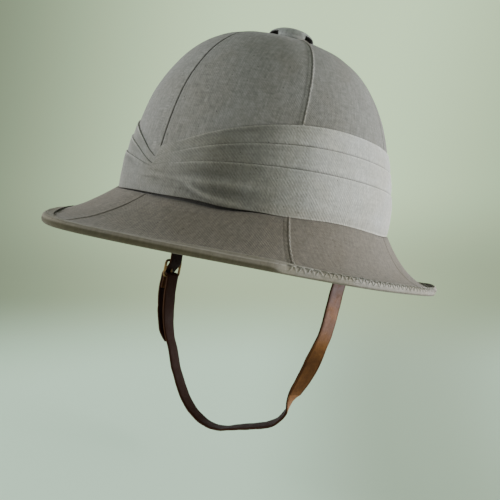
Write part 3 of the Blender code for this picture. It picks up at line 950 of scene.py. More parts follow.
@dataclass
class CoveredShell:
    """The pith shell under its cloth: six gores on the crown and six panels on the brim.

    Three angles set how the seams run: lead draws them together towards each side, lean turns
    them forwards near the foot, and bow curves the front one on the brim.
    """

    form: HelmetForm
    seam_styles: tuple[SeamStyle, ...] = (SeamStyle.BUTTED, SeamStyle.LAPPED) * 3
    crown_rows: int = 110
    brim_rows: int = 44
    inner_rows: int = 46
    under_rows: int = 16
    near_seam: tuple[float, ...] = (
        -7, -5.2, -4.3, -3.8, -3.4, -3.0, -2.4, -1.8, -1.4, -1.1, -0.85, -0.6,
        -0.4, -0.2, 0.0, 0.2, 0.4, 0.6, 0.85, 1.15, 1.6, 2.4, 4.2, 7.0)
    between: int = 24
    lumps: float = 0.45 * MM
    lump_wave: float = 75 * MM
    ripples: float = 0.12 * MM
    ripple_wave: float = 20 * MM
    bow: float = math.radians(-2.4)
    bow_spread: float = 0.5
    lean: float = math.radians(5.4)
    lead: float = math.radians(3.4)
    foot_turn: float = 0.55
    overlap: float = 0.12 * MM
    overlap_start: Range = (-4.2 * MM, -3.0 * MM)
    overlap_end: float = 0.4 * MM
    # foot_dark is painted shade on the crown under the band; hem_gap is a painted shadow on the
    # brim under the band's lifted hem.
    foot_dark: float = 0.8
    foot_dark_to: float = 9 * MM
    hem_gap: float = 0.85
    hem_gap_at: float = 0.38
    hem_gap_spread: float = 0.4
    brim_seams: float = 0.45
    stitch: float = 2.5 * MM
    stitch_gap: float = 1.0 * MM
    stitch_slant: float = 0.7 * MM
    stitch_lift: Range = (0.05 * MM, 0.30 * MM)
    thread: float = 0.4 * MM

    @property
    def pitch(self) -> float:
        """Angle from one seam to the next."""
        return FULL_TURN / len(self.seam_styles)

    def columns(self) -> Array:
        """Angles round the helmet, close together at each seam and even between."""
        near = np.array(self.near_seam) * MM / self.form.half_length
        gap = np.linspace(near[-1], self.pitch + near[0], self.between + 2)[1:-1]
        one = np.concatenate([near, gap])
        return (np.arange(len(self.seam_styles))[:, None] * self.pitch + one).reshape(-1)

    def crown(self, columns: Array) -> tuple[Array, Array]:
        """The crown's grid, from the vent hole down to the foot.

        The rows' heights are a power of the sines of even angles. The seams swing forwards on
        their way down, by the cube of the height, and a little more near the foot.

        Args:
            columns: angles of the columns.

        Returns:
            The points, and the height of the foot below each.
        """
        form = self.form
        girth = 0.5 * (form.half_length + form.half_width)
        top = math.acos((form.vent_radius / girth) ** (form.round_power / 2.0))
        slope = top * np.linspace(1.0, 0.0, self.crown_rows)[:, None]
        rise = np.sin(slope) ** (2.0 / form.height_power)
        late = (1.0 - rise) * (
            self.foot_turn + (1.0 - self.foot_turn) * smooth_step(rise, 0.0, 0.4))
        angle = self.placed(columns) + np.sin(columns) * (
            form.seam_drift * (rise ** 3 - self.foot_turn) - self.lean * late)
        foot = form.foot(angle)
        crown = form.crown(angle, foot + (form.height - foot) * rise)
        hole = np.stack([form.vent_x + form.vent_radius * np.sin(columns),
                         form.vent_y - form.vent_radius * np.cos(columns),
                         crown[0, :, 2]], axis=-1)
        to_hole = bell(np.arange(self.crown_rows), 0.0, 2.5)[:, None, None]
        return crown * (1.0 - to_hole) + (crown + hole - crown[0]) * to_hole, foot

    def placed(self, columns: Array) -> Array:
        """Angles of the columns, drawn together towards each side of the helmet."""
        return columns + self.lead * np.sin(2.0 * columns)

    def brim(self, columns: Array, share: Array) -> Array:
        """The brim's grid; its seams carry on from the crown's, and the front one bows.

        Args:
            columns: angles of the columns.
            share: 0 at the foot and 1 at the edge, by row.

        Returns:
            The points.
        """
        bow = self.bow * np.sin(math.pi * share) * bell(signed(columns), 0.0, self.bow_spread)
        angle = self.placed(columns) + bow - np.sin(columns) * (
            self.foot_turn * self.form.seam_drift + self.foot_turn * self.lean * (1.0 - share))
        return self.form.brim(angle, share + 0.0 * angle)

    def metric(self, columns: Array, points: Array) -> Array:
        """Metres along the surface per radian of column, at each point."""
        wide = np.concatenate([points[:, -1:], points, points[:, :1]], axis=1)
        angles = np.concatenate([[columns[-1] - FULL_TURN], columns, [columns[0] + FULL_TURN]])
        return np.linalg.norm(wide[:, 2:] - wide[:, :-2], axis=-1) / (angles[2:] - angles[:-2])

    def seam_relief(self, columns: Array, metric: Array) -> tuple[Array, ...]:
        """Relief and marks of the seams: the sum of each seam's lines.

        On a lapped seam the upper cloth also lies higher, from its second line to its edge.

        Args:
            columns: angles of the columns.
            metric: metres along the surface per radian.

        Returns:
            The relief in metres, and how dark and how worn each point is.
        """
        number = np.round(columns / self.pitch).astype(int) % len(self.seam_styles)
        lapped = np.array([style is SeamStyle.LAPPED for style in self.seam_styles])[number]
        half = 0.5 * self.pitch
        distance = ((columns + half) % self.pitch - half) * metric
        upper = self.overlap * smooth_step(distance, *self.overlap_start)
        upper = upper * (distance < self.overlap_end)
        relief, dark, wear_and_highlight = (
            np.where(lapped, SeamStyle.LAPPED.total(effect, distance) + extra,
                     SeamStyle.BUTTED.total(effect, distance))
            for effect, extra in (("height", upper), ("dark", 0.0), ("wear_and_highlight", 0.0)))
        return relief, np.clip(dark, 0.0, 1.0), np.clip(wear_and_highlight, 0.0, 1.0)

    def lining(self, crown: Array, brim: Array) -> Array:
        """The inner face, one wall's thickness within, from the brim's edge up to the vent."""
        keep = np.linspace(0, self.crown_rows - 1, self.inner_rows).astype(int)
        inside = crown[keep] - grid_normals(crown)[keep] * self.form.wall
        inside[0, :, 2] = crown[0, :, 2] - self.form.wall
        under = brim - grid_normals(brim) * self.form.wall
        brim_keep = np.linspace(1, self.brim_rows - 1, self.under_rows).astype(int)
        return np.concatenate([inside, under[brim_keep]])[::-1]

    def shell_map(self, columns: Array, points: Array) -> Array:
        """The cloth's map: each gore has its own straight grain, down its middle line."""
        apart = 0.31
        gore = np.floor(columns / self.pitch)
        u = (columns - (gore + 0.5) * self.pitch) * self.metric(columns, points) + gore * apart
        u = np.pad(np.concatenate([u, u[:1]]), ((0, 0), (0, 1)), mode="edge")
        return cloth_map(u, points)

    def build(self) -> list[Piece]:
        """The cover as one closed mesh, over and round the edge and back inside, and stitches."""
        columns = self.columns()
        crown, foot = self.crown(columns)
        share = np.linspace(0.0, 1.0, self.brim_rows)[:, None] ** 0.9
        brim = self.brim(columns, share)
        outer = np.concatenate([crown, brim])
        metric = self.metric(columns, outer)
        relief, dark, wear_and_highlight = self.seam_relief(columns, metric)
        relief += (self.lumps * unevenness(outer, 3, self.lump_wave)
                   + self.ripples * unevenness(outer, 5, self.ripple_wave))
        away = np.ones((len(outer), 1))
        away[self.crown_rows:] = smooth_step(1.0 - share, 0.0, 0.03)
        surface = outer + grid_normals(outer) * (relief * away)[..., None]
        lining = self.lining(crown, brim)
        points = np.concatenate([surface, lining])

        on_crown, on_brim = dark[:self.crown_rows], dark[self.crown_rows:]
        # Painted shade on the crown just above the foot, under the band.
        on_crown[crown[..., 2] - foot < self.foot_dark_to] = self.foot_dark
        # Painted shadow on the brim, in the gap under the band's lifted hem.
        under_hem = (1.0 - smooth_step(share, 0.0, 0.05)) * bell(
            signed(columns), self.hem_gap_at, self.hem_gap_spread)
        np.maximum(on_brim, self.hem_gap * under_hem, out=on_brim)
        on_brim *= np.where(on_brim < 0.6, self.brim_seams, 1.0)
        stain_and_shade = np.zeros_like(dark)
        stain_and_shade[self.crown_rows:] = 1.0
        # The lining is darkened with painted shade.
        blank = np.zeros(lining.shape[:2])
        marks = {"crease_and_shade": np.concatenate([dark, blank + 0.2]),
                 "wear_and_highlight": np.concatenate([wear_and_highlight, blank]),
                 "stain_and_shade": np.concatenate([stain_and_shade, blank + 0.6])}
        piece = grid_piece("cloth_covered_shell", points, closed_rows=True,
                           uv=self.shell_map(columns, points), marks=marks)
        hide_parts("helmet_shell")
        return [piece, self.stitches(surface, columns)]

    def stitches(self, surface: Array, columns: Array) -> Piece:
        """Short slanting stitches of thread along the ridge of each lapped seam.

        Args:
            surface: the cover's outer points.
            columns: angles of the columns.

        Returns:
            The object.
        """
        ridge = SeamStyle.LAPPED.value[0].at / self.form.half_length
        spans = ((4, self.crown_rows - 30), (self.crown_rows + 1, len(surface) - 6))
        normal = grid_normals(surface)
        sideways = unit(np.gradient(surface, axis=1))
        tubes = []
        for number, style in enumerate(self.seam_styles):
            if style is SeamStyle.LAPPED:
                column = int(np.argmin(np.abs(columns - number * self.pitch - ridge)))
                line = np.concatenate([surface, normal, sideways], axis=-1)[:, column]
                tubes += [self.stitch_line(line[start:end]) for start, end in spans]
        return many_tubes("seam_stitches", np.concatenate(tubes))

    def stitch_line(self, line: Array) -> Array:
        """Stitches along one seam, each a bowed tube that leans across it.

        Args:
            line: position, normal and sideways direction at points along the seam.

        Returns:
            Tube points by stitch, ring and side.
        """
        step = self.stitch + self.stitch_gap
        way = travelled(line[:, :3])
        starts = np.arange(0.5 * step, way[-1] - step, step)
        share = np.linspace(0.0, 1.0, 5)
        place = starts[:, None] + self.stitch * share
        found = np.stack([np.interp(place, way, axis) for axis in line.T], axis=-1)
        point, normal, sideways = found[..., :3], found[..., 3:6], found[..., 6:]
        least, bow = self.stitch_lift
        lift = least + bow * np.sin(math.pi * share)
        slant = (share - 0.5) * self.stitch_slant
        middle = point + normal * lift[:, None] + sideways * slant[:, None]
        return tube_rings(middle, normal, self.thread)


# ------------------------ band

@dataclass(frozen=True)
class Fold:
    """A soft fold in the band: a valley, or a ridge if its depth is negative.

    Its route has degrees round the helmet and millimetres above the solids' zero.
    """

    route: Rows
    depth: float
    width: float
    per_degree: float = 1.85

    def relief(self, angle: Array, height: Array) -> Array:
        """Depth of the fold at each point: a bell curve of the distance to its route.

        Args:
            angle: degrees round the helmet.
            height: millimetres above the solids' zero.

        Returns:
            Millimetres, inwards.
        """
        route = np.array(self.route, dtype=float) * (self.per_degree, 1.0)
        place = np.stack([angle * self.per_degree, height], axis=-1)[..., None, :]
        start, span = route[:-1], np.diff(route, axis=0)
        share = ((place - start) * span).sum(-1) / (span ** 2).sum(-1)
        held = np.clip(share, 0.0, 1.0)
        gap = np.linalg.norm(place - start - held[..., None] * span, axis=-1)
        nearest = gap.argmin(axis=-1)[..., None]
        distance = np.take_along_axis(gap, nearest, axis=-1)[..., 0]
        length = np.linalg.norm(span, axis=1)
        walked = np.append(0.0, np.cumsum(length))[:-1] + held * length
        along = np.take_along_axis(walked, nearest, axis=-1)[..., 0] / length.sum()
        return self.depth * bell(distance, 0.0, self.width) * np.sin(math.pi * along) ** 1.1


@dataclass(frozen=True)
class BandTurn:
    """One turn of the band: its folded upper edge, and the shape of its cloth.

    The edge's heights are millimetres above the solids' zero, and dip and rise are its steps
    down and up at the crossing. Fullness and roundness shape the bulge, ripples set in over
    `start`, and crossing_dark is what is left of its dark line on the wearer's right.
    """

    name: str
    node: str
    front: float
    left: float
    right: float
    back: float
    dip: float
    rise: float
    folds: tuple[Fold, ...]
    fullness: float = 1.0
    roundness: float = 0.8
    start: float = 0.12
    crossing_dark: float = 1.0


@dataclass
class TurnLines:
    """What one turn's section needs at each column, in metres.

    Top, cover and foot are the heights of its folded edge, of the next turn's edge and of its
    hem. Cloth is its thickness, and inside its distance from the crown.
    """

    angle: Array
    top: Array
    cover: Array
    foot: Array
    cloth: Array
    inside: Array

    @property
    def way(self) -> Array:
        """Degrees round the helmet, positive on the wearer's left."""
        return np.degrees(signed(self.angle))


@dataclass(frozen=True)
class BandWear:
    """Where the band is darkened by painted shade, paled by wear and painted highlight, faded and
    soiled.

    Places are degrees from the front, and a pair of ranges is the wearer's left, then right.
    The marks of the front give way to those of the back over late_from.
    """

    # The pale fold bead is partly wear and partly painted highlight.
    rub_and_highlight_from: Rows = ((5, 16), (8, 20))
    late_from: Rows = ((39, 59), (95, 165))
    rubbed_and_highlight: float = 0.95
    rub_and_highlight_late: float = 0.4
    edge: float = 1.1 * MM
    edge_wear_and_highlight: float = 0.6
    calm: Hump = Hump(0.95, 7.0, 7.0)
    calm_from: float = -1.5
    crisp: float = 0.4
    crisp_front: Hump = Hump(0.6, -12.0, 11.0)
    crisp_late: float = 0.2
    # The dark line is a painted shadow just above the next turn's edge, under_edge is painted shade
    # just below the fold, and fold_dark paints shade in the fold valleys.
    line_width: float = 0.8 * MM
    line_width_late: float = 1.0 * MM
    line_dark: float = 0.8
    under_edge: Hump = Hump(0.14, 2.3 * MM, 1.1 * MM)
    fold_dark: float = 3.2 * MM
    fold_darkest: float = 0.3
    # fold_pale paints highlights on ridges.
    fold_pale: float = 0.9 * MM
    faded: tuple[tuple[float, int, float, float], ...] = (
        (1.0, 1, 32.0, 80.0), (0.38, -1, 2.0, 40.0), (0.62, -1, 75.0, 165.0))
    faded_front: Hump = Hump(0.26, 3.0, 13.0)
    faded_uneven: Range = (0.08, 30 * MM)
    # The pale hem is partly wear and partly painted highlight.
    hem_wear_and_highlight: float = 0.75
    hem_edge: Range = (0.2 * MM, 1.6 * MM)
    hem_soiled: float = 0.32
    hem_soiled_to: float = 11 * MM

    @staticmethod
    def _from(way: Array, places: Rows) -> Array:
        """0 at the front and 1 past a range of places on each side."""
        left, right = places
        return smooth_step(way, *left) + smooth_step(-way, *right)

    def marks(self, lines: TurnLines, turn: BandTurn, height: Array, valley: Array,
              flat: Array, last: bool) -> dict[str, tuple]:
        """Marks of a turn: for each, its values inside, on the fold, outside and on the hem.

        Args:
            lines: the turn's lines.
            turn: the turn.
            height: heights of the outer face's points.
            valley: depth of the folds there in metres.
            flat: the points on the crown below.
            last: whether this is the outermost turn.

        Returns:
            Four values or arrays by the mark's name.
        """
        way = lines.way
        late = self._from(way, self.late_from)
        side = self._from(way, self.rub_and_highlight_from)
        soft = 1.0 - self.calm.at(way) * (way > self.calm_from)
        crisp = self.crisp + self.crisp_front.at(way) + self.crisp_late * late
        crisp *= 1.0 - (1.0 - turn.crossing_dark) * smooth_step(-way, -3.0, 3.0)
        wide = self.line_width + self.line_width_late * late
        # Painted shadow: a dark line on this turn just above the next turn's edge.
        line = (1.0 - smooth_step((height - lines.cover) / wide, 0.4, 1.3)) * (not last)
        # Painted shade in the fold valleys, and just below the fold.
        deep = np.clip(valley / self.fold_dark, 0.0, self.fold_darkest)
        under = self.under_edge.at(lines.top - height) * side * (1.0 - late)

        faded = sum(part * smooth_step(sign * way, low, high)
                    for part, sign, low, high in self.faded)
        uneven, wave = self.faded_uneven
        uneven = uneven * unevenness(flat, 17, wave)
        faded = np.clip(faded + (self.faded_front.at(way) + uneven), 0, 1)

        # Pale fold edge, ridge and hem: partly wear and partly painted highlight.
        rubbed_and_highlight = self.rubbed_and_highlight * side * (1.0 - (1.0 - self.rub_and_highlight_late) * late)
        edge = smooth_step(height - lines.top, -self.edge, 0.0)
        curl = np.clip(-valley / self.fold_pale, 0.0, 1.0)
        above_hem = height - lines.foot
        hem_wear_and_highlight = self.hem_wear_and_highlight * late * last
        low_wear_and_highlight = hem_wear_and_highlight * (1.0 - smooth_step(above_hem, *self.hem_edge))
        soiled = self.hem_soiled * late * (1.0 - smooth_step(above_hem, 0.0, self.hem_soiled_to))
        dark = self.line_dark * line * soft * crisp + deep + under
        wear_and_highlight = self.edge_wear_and_highlight * edge * rubbed_and_highlight + 0.85 * curl + low_wear_and_highlight
        # The inner face and the hem are darkened as painted shade.
        return {
            "crease_and_shade": (0.3, 0.0, np.clip(dark, 0, 1), 0.6),
            "wear_and_highlight": (0.0, rubbed_and_highlight, np.clip(wear_and_highlight, 0, 1), np.maximum(0.3, hem_wear_and_highlight)),
            "fade": (0.3, faded[:1], faded, 0.2),
            "stain_and_shade": (0.5, 0.0, soiled * last, 0.5),
        }


@dataclass
class FoldedBand:
    """The puggaree: three turns of folded cloth that cross in a V at the front."""

    form: HelmetForm
    wear: BandWear = BandWear()
    cloth: float = 0.85 * MM
    deepest_fold: float = 0.6
    off_crown: float = 0.12 * MM
    pressed: Hump = Hump(0.62, 8.0, 9.0)
    gap: float = 0.12 * MM
    bulge: float = 0.75 * MM
    flattened: Hump = Hump(0.95, -38.0, 26.0)
    bead: float = 1.25
    wider_bead: float = 0.35
    wider_from: Range = (2, 16)
    steepness: float = 0.85
    steeper_right: float = 0.12
    crest: float = math.radians(78)
    crossing: Range = (-1.9, 0.3)
    rise_spread: float = 5.0
    dip_spread: float = 9.0
    columns: int = 640
    fewest_rows: int = 24
    rows_per_mm: float = 0.9
    crowding: float = 1.15
    map_radius: float = 108 * MM
    lift: float = 1.7 * MM
    lift_at: float = math.radians(24)
    lift_spread: float = math.radians(15)
    foot_gap: float = 0.5 * MM
    loose: float = 0.9 * MM
    loose_at: float = math.radians(2)
    loose_spread: float = math.radians(34)
    ripples: float = 0.18 * MM
    ripple_wave: float = 30 * MM
    ripple_stretch: Triple = (1.0, 1.0, 2.5)
    ripple_seed: int = 11
    fade_at_cover: float = 0.06
    turns: tuple[BandTurn, ...] = (
        BandTurn("band_turn_top", "puggaree_top", 27.0, 65.0, 55.0, 54.0, 5.2, 3.2, (
            Fold(((14, 40), (32, 50), (60, 58)), 0.22, 1.2),
            Fold(((70, 58), (100, 56), (125, 53)), 0.25, 2.0),
            Fold(((-12, 40), (-24, 48), (-50, 57)), 0.25, 1.2),
        )),
        BandTurn("band_turn_middle", "puggaree_middle", 22.5, 50.5, 41.6, 41.5, 5.4, 0.5, (
            Fold(((16, 28), (34, 36), (62, 42)), 0.25, 1.4),
            Fold(((50, 44), (80, 45), (110, 42)), 0.2, 1.8),
        ), crossing_dark=0.5),
        BandTurn("band_turn_outer", "puggaree_outer", 17.5, 34.2, 26.6, 26.0, 1.8, 0.0, (
            Fold(((3, 13.6), (11, 15.4), (22, 18.6), (33, 21.4), (45, 25.0)), 1.15, 1.9),
            Fold(((14, 9.2), (24, 9.0), (34, 9.8), (50, 11.0)), 1.15, 1.9),
            Fold(((9, 12.2), (22, 13.4), (36, 15.6), (50, 18.6)), -0.5, 1.6),
            Fold(((14, 11.6), (20.5, 8.2), (25, 5.6), (31, 3.6), (44, 2.6)), -1.5, 1.2),
            Fold(((11, 10.2), (17, 7.0), (22, 4.0), (28, 1.8)), 0.9, 1.1),
            Fold(((0, 12), (10, 11.0), (20, 11.6)), 0.3, 1.0),
            Fold(((-4, 8), (6, 6.6), (18, 5.4)), 0.3, 1.4),
            Fold(((-8, 8.0), (1, 9.4), (8, 8.4), (14, 8.2)), 0.75, 0.55),
            Fold(((6, 10.2), (12, 9.8), (19, 9.3)), 0.75, 0.55),
            Fold(((-4, 15.4), (3, 14.2), (11, 14.8)), 0.6, 0.55),
            Fold(((-3, 11.4), (6, 11.9), (15, 11.4)), -0.4, 0.7),
            Fold(((5, 5.4), (12, 5.8), (18, 5.2)), 0.6, 0.6),
            Fold(((-26, 21), (-12, 15), (-2, 12)), 0.35, 1.4),
            Fold(((60, 18), (85, 17), (112, 14)), 0.25, 3.0),
            Fold(((-60, 18), (-85, 17), (-112, 14)), 0.3, 3.0),
        ), fullness=1.4, roundness=0.6, start=0.03),
    )

    def edge(self, angle: Array, turn: BandTurn) -> Array:
        """Height of a turn's folded edge: a V at the front, a crest at each side.

        It climbs by a power of a sine to the crest, and falls by a cosine to the back. Where
        the turns cross it steps from a dip on the wearer's right to a rise on the left.

        Args:
            angle: angles round the helmet.
            turn: the turn.

        Returns:
            Heights in metres.
        """
        around = signed(angle)
        away, way = np.abs(around), np.degrees(around)
        crest = np.where(around >= 0.0, turn.left, turn.right)
        steep = self.steepness + np.where(around >= 0.0, 0.0, self.steeper_right)
        climb = np.sin(0.5 * math.pi * np.clip(away / self.crest, 0.0, 1.0)) ** steep
        past = np.clip((away - self.crest) / (math.pi - self.crest), 0.0, 1.0)
        fall = 0.5 - 0.5 * np.cos(math.pi * past)
        over = smooth_step(way, *self.crossing)
        step = (over * turn.rise * bell(way, 0.0, self.rise_spread)
                - (1.0 - over) * turn.dip * bell(way, 0.0, self.dip_spread))
        level = turn.front + (crest - turn.front) * climb + (turn.back - crest) * fall
        return (level + step) * MM

    def lines(self, number: int) -> TurnLines:
        """The lines of one turn; its cloth is pressed flat just past the V on the left."""
        angle = np.linspace(-math.pi, math.pi, self.columns, endpoint=False)
        around = signed(angle)
        lift = self.lift * np.exp(-((around - self.lift_at) / self.lift_spread) ** 2)
        foot = self.form.foot(angle) + self.foot_gap + lift
        foot = foot + self.loose * np.exp(-((around - self.loose_at) / self.loose_spread) ** 2)
        cloth = self.cloth * (1.0 - self.pressed.at(np.degrees(around)))
        last = number == len(self.turns) - 1
        return TurnLines(
            angle=angle, top=self.edge(angle, self.turns[number]), foot=foot, cloth=cloth,
            cover=foot if last else self.edge(angle, self.turns[number + 1]),
            inside=self.off_crown + number * (cloth + self.gap))

    def section(self, lines: TurnLines, height: Array, out: Array) -> list[Array]:
        """The turn's section: up the inner face, over a round fold, down the outer face, hem.

        Args:
            lines: the turn's lines.
            height: heights of the outer face's points.
            out: their distances from the crown.

        Returns:
            The points of the four parts.
        """
        def crown(up: Array, away: Array) -> Array:
            """Points at these heights and distances from the crown."""
            return self.form.crown(lines.angle, up, away)

        half = 0.5 * lines.cloth
        bead = half * (self.bead + self.wider_bead * smooth_step(-lines.way, *self.wider_from))
        inner_rows, fold_points, hem_points = 8, 8, 7
        over = np.linspace(math.pi, 0.0, fold_points)[1:-1, None]
        under = np.linspace(0.0, math.pi, hem_points)[1:-1, None]
        up = np.linspace(0.0, 1.0, inner_rows)[:, None]
        inner = lines.foot + (lines.top - lines.foot) * up
        middle = lines.inside + half
        return [
            crown(inner, lines.inside),
            crown(lines.top + bead * np.sin(over), middle + bead * np.cos(over)),
            crown(height, out),
            crown(lines.foot - half * np.sin(under), middle + half * np.cos(under)),
        ]

    def turn_piece(self, number: int) -> Piece:
        """One turn as a closed ring, its section carried round the crown.

        The outer face bulges by a power of a sine between its own edge and the next turn's,
        less the depth of the folds.
        """
        turn, lines = self.turns[number], self.lines(number)
        last = number == len(self.turns) - 1
        rows = self.fewest_rows + round(turn.left * self.rows_per_mm)
        level = np.linspace(0.0, 1.0, rows)[:, None] ** self.crowding
        height = lines.top - (lines.top - lines.foot) * level
        shown = np.clip((height - lines.cover) / (lines.top - lines.cover), 0.0, 1.0)
        bulge = turn.fullness * self.bulge * np.sin(math.pi * shown) ** turn.roundness
        bulge *= lines.cloth / self.cloth
        bulge *= 1.0 - self.flattened.at(lines.way)
        degrees = np.degrees(lines.angle) + 0.0 * height
        valley = sum(fold.relief(degrees, height / MM) for fold in turn.folds) * MM
        valley = np.minimum(valley, self.deepest_fold * lines.cloth + bulge)
        flat = self.form.crown(lines.angle, height)
        wave = self.ripples * unevenness(
            flat * self.ripple_stretch, self.ripple_seed + number, self.ripple_wave)
        fade = (smooth_step(shown, 0.0, turn.start)
                * smooth_step(1.0 - shown, 0.0, self.fade_at_cover))
        out = lines.inside + lines.cloth + bulge + fade * (wave - valley)
        parts = self.section(lines, height, out)

        shapes = [part.shape[:2] for part in parts]
        marks = {
            name: np.concatenate([np.broadcast_to(*pair) for pair in zip(values, shapes)])
            for name, values in
            self.wear.marks(lines, turn, height, valley, flat, last).items()}
        points = np.concatenate(parts)
        uv = cloth_map(np.append(lines.angle, math.pi) * self.map_radius, points)
        piece = grid_piece(turn.name, points, closed_rows=True, uv=uv, marks=marks)
        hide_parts(turn.node)
        return piece

    def build(self) -> list[Piece]:
        """The three turns, each a folded strip: up inside, over the fold, down outside."""
        return [self.turn_piece(number) for number in range(len(self.turns))]


# ------------------------ binding

@dataclass
class BrimBinding:
    """The cloth edge folded over the brim, and the criss-cross stitches behind the seams.

    Sections are millimetres outwards from the brim's edge and up from its upper face. A wave
    is its height, seed and length. An edge of the darker lower part, partly stain and partly
    painted shade, is its height in front and its drop behind, in millimetres. crest_worn and
    the darker lower part's share are each a share, and what is added behind or in front.
    """

    form: HelmetForm
    columns: int = 640
    section_step: float = 0.42 * MM
    section: Rows = (
        (-8.2, 0.15), (-8.3, 0.5), (-8.0, 0.85), (-7.2, 1.0), (-6.0, 1.0), (-4.6, 0.95),
        (-3.2, 1.0), (-2.2, 1.2), (-1.2, 1.25), (-0.2, 1.0), (0.5, 0.4), (0.85, -0.6),
        (0.9, -1.9), (0.7, -3.1), (0.1, -4.0), (-0.9, -4.5), (-2.4, -4.6), (-4.4, -4.4),
        (-6.4, -4.25), (-7.8, -4.2), (-8.2, -3.9), (-8.1, -3.55), (-6.0, -3.45), (-2.0, -3.45),
        (-0.2, -3.4), (0.35, -3.0), (0.35, -0.2), (0.0, 0.2), (-2.0, 0.2), (-6.0, 0.15))
    lip: float = 2.4 * MM
    lip_at: float = math.radians(138)
    lip_spread: float = math.radians(11)
    lip_rises: Range = (-4.4 * MM, -1.8 * MM)
    lip_hollow: Range = (-4.2 * MM, 2.3 * MM)
    lip_from: float = -3 * MM
    waves: tuple[tuple[float, int, float], ...] = (
        (0.14 * MM, 21, 35 * MM), (0.06 * MM, 22, 9 * MM))
    wavy_top: Range = (0.4 * MM, 0.9 * MM)
    wavy_side: Range = (-0.2 * MM, 0.7 * MM)
    upper_from: float = -1 * MM
    # The inner edge, the lip's hollow and the stitch holes are darkened as painted shade.
    inner_edge: Range = (-8.25 * MM, 0.3 * MM)
    inner_dark: float = 0.85
    crest: Range = (-1.6 * MM, 1.0 * MM)
    crest_worn: Range = (0.35, 0.35)
    outer_half: Range = (-3.4 * MM, -2.0 * MM)
    outer_worn: float = 0.45
    # The darker lower part is partly stain and partly painted shade.
    stain_and_shade_edges: Rows = ((-1.4, 2.4), (0.1, 2.6))
    lower_stain_and_shade: Range = (0.75, 0.2)
    faded: float = 0.8
    hole_width: Range = (0.2, 0.9)
    holes_from: float = -0.2 * MM
    hole_dark: float = 0.6
    stitched_from: float = math.radians(56.3)
    fade_in: float = 0.06
    stitch_pitch: float = 6.2 * MM
    stitch_rings: int = 9
    stitch_path: Rows = (
        (-5.8, 1.0), (-4.2, 1.0), (-2.6, 1.15), (-1.2, 1.25), (-0.2, 1.0), (0.5, 0.4),
        (0.8, -0.5), (0.9, -1.8))
    stitch_turns_down: Range = (-1.2 * MM, 0.9 * MM)
    stitch_lift: float = 0.34
    upper_stitch_lift: float = 0.25
    stitch_sink: float = -0.1
    thread: float = 0.42 * MM

    def waviness(self, point: Array) -> Array:
        """Unevenness of the binding's upper face, in metres, at each point."""
        return sum(height * unevenness(point, seed, wave) for height, seed, wave in self.waves)

    def even_angles(self, count: int) -> tuple[Array, float]:
        """Angles of evenly spaced points on the brim's edge, and the edge's length."""
        fine = np.linspace(0.0, FULL_TURN, 4001)
        way = travelled(self.form.brim_edge(fine))
        even = np.interp(np.linspace(0.0, way[-1], count, endpoint=False), way, fine)
        return even, float(way[-1])

    def stitch_count(self, length: float) -> int:
        """Number of crosses that fit round an edge of this length."""
        return round(length / self.stitch_pitch)

    def frame_at(self, angle: Array, outward_by: Array) -> tuple[Array, ...]:
        """Point on the brim's upper face, its normal and the direction outwards.

        Args:
            angle: angles round the helmet.
            outward_by: distance from the brim's edge, negative towards the crown.

        Returns:
            The points, the normals and the outward directions.
        """
        share = np.minimum(1.0 + outward_by / self.form.brim_width(angle), 1.0)
        angle = angle + 0.0 * share
        normal, outward = self.form.brim_axes(angle, share)
        beyond = np.maximum(outward_by, 0.0) + 0.0 * share
        return self.form.brim(angle, share) + outward * beyond[..., None], normal, outward

    def lip_height(self, angle: Array) -> Array:
        """Height of the low lip behind each side of the helmet."""
        return self.lip * bell(np.abs(signed(angle)), self.lip_at, self.lip_spread)

    def marks(self, angle: Array, crosses: int, outward_by: Array,
              up_by: Array) -> dict[str, Array]:
        """Marks of the binding: darker below, partly stain and partly painted shade, painted shade
        at its inner edge, in the lip's hollow and at the stitch holes, and paler along its crest.

        Args:
            angle: angles of the columns, evenly spaced along the edge.
            crosses: number of crossed stitches that fit round the edge.
            outward_by: each row's distance outwards from the brim's edge.
            up_by: each row's height over the brim's upper face.

        Returns:
            Values per point by the mark's name.
        """
        upper = (up_by > self.upper_from) + 0.0 * angle
        start = self.stitched_from
        behind = smooth_step(np.abs(signed(angle)), start - self.fade_in, start)
        # Darker lower part: partly stain, partly painted shade.
        low, high = ((front - drop * behind) * MM for front, drop in self.stain_and_shade_edges)
        below = 1.0 - smooth_step(up_by, low, high)
        hollow = self.lip_height(angle) / self.lip * bell(outward_by, *self.lip_hollow) * upper
        phase = FULL_TURN * np.arange(self.columns) / self.columns * crosses
        crest = bell(outward_by, *self.crest)
        holes = smooth_step(np.cos(phase), *self.hole_width) * (up_by > self.holes_from) * crest
        least, more = self.crest_worn
        wear_and_highlight = (crest * (least + more * behind)
                + self.outer_worn * behind * smooth_step(outward_by, *self.outer_half)) * upper
        # Painted shade at the inner edge, in the lip's hollow and at the stitch holes.
        dark = (self.inner_dark * bell(outward_by, *self.inner_edge) * upper + hollow
                + self.hole_dark * holes * behind)
        least, more = self.lower_stain_and_shade
        return {"crease_and_shade": np.clip(dark, 0, 1),
                "stain_and_shade": np.clip(below * (least + more * (1.0 - behind)), 0.0, 1.0),
                "fade": self.faded * behind + 0.0 * upper,
                "wear_and_highlight": np.clip(wear_and_highlight, 0.0, 1.0)}

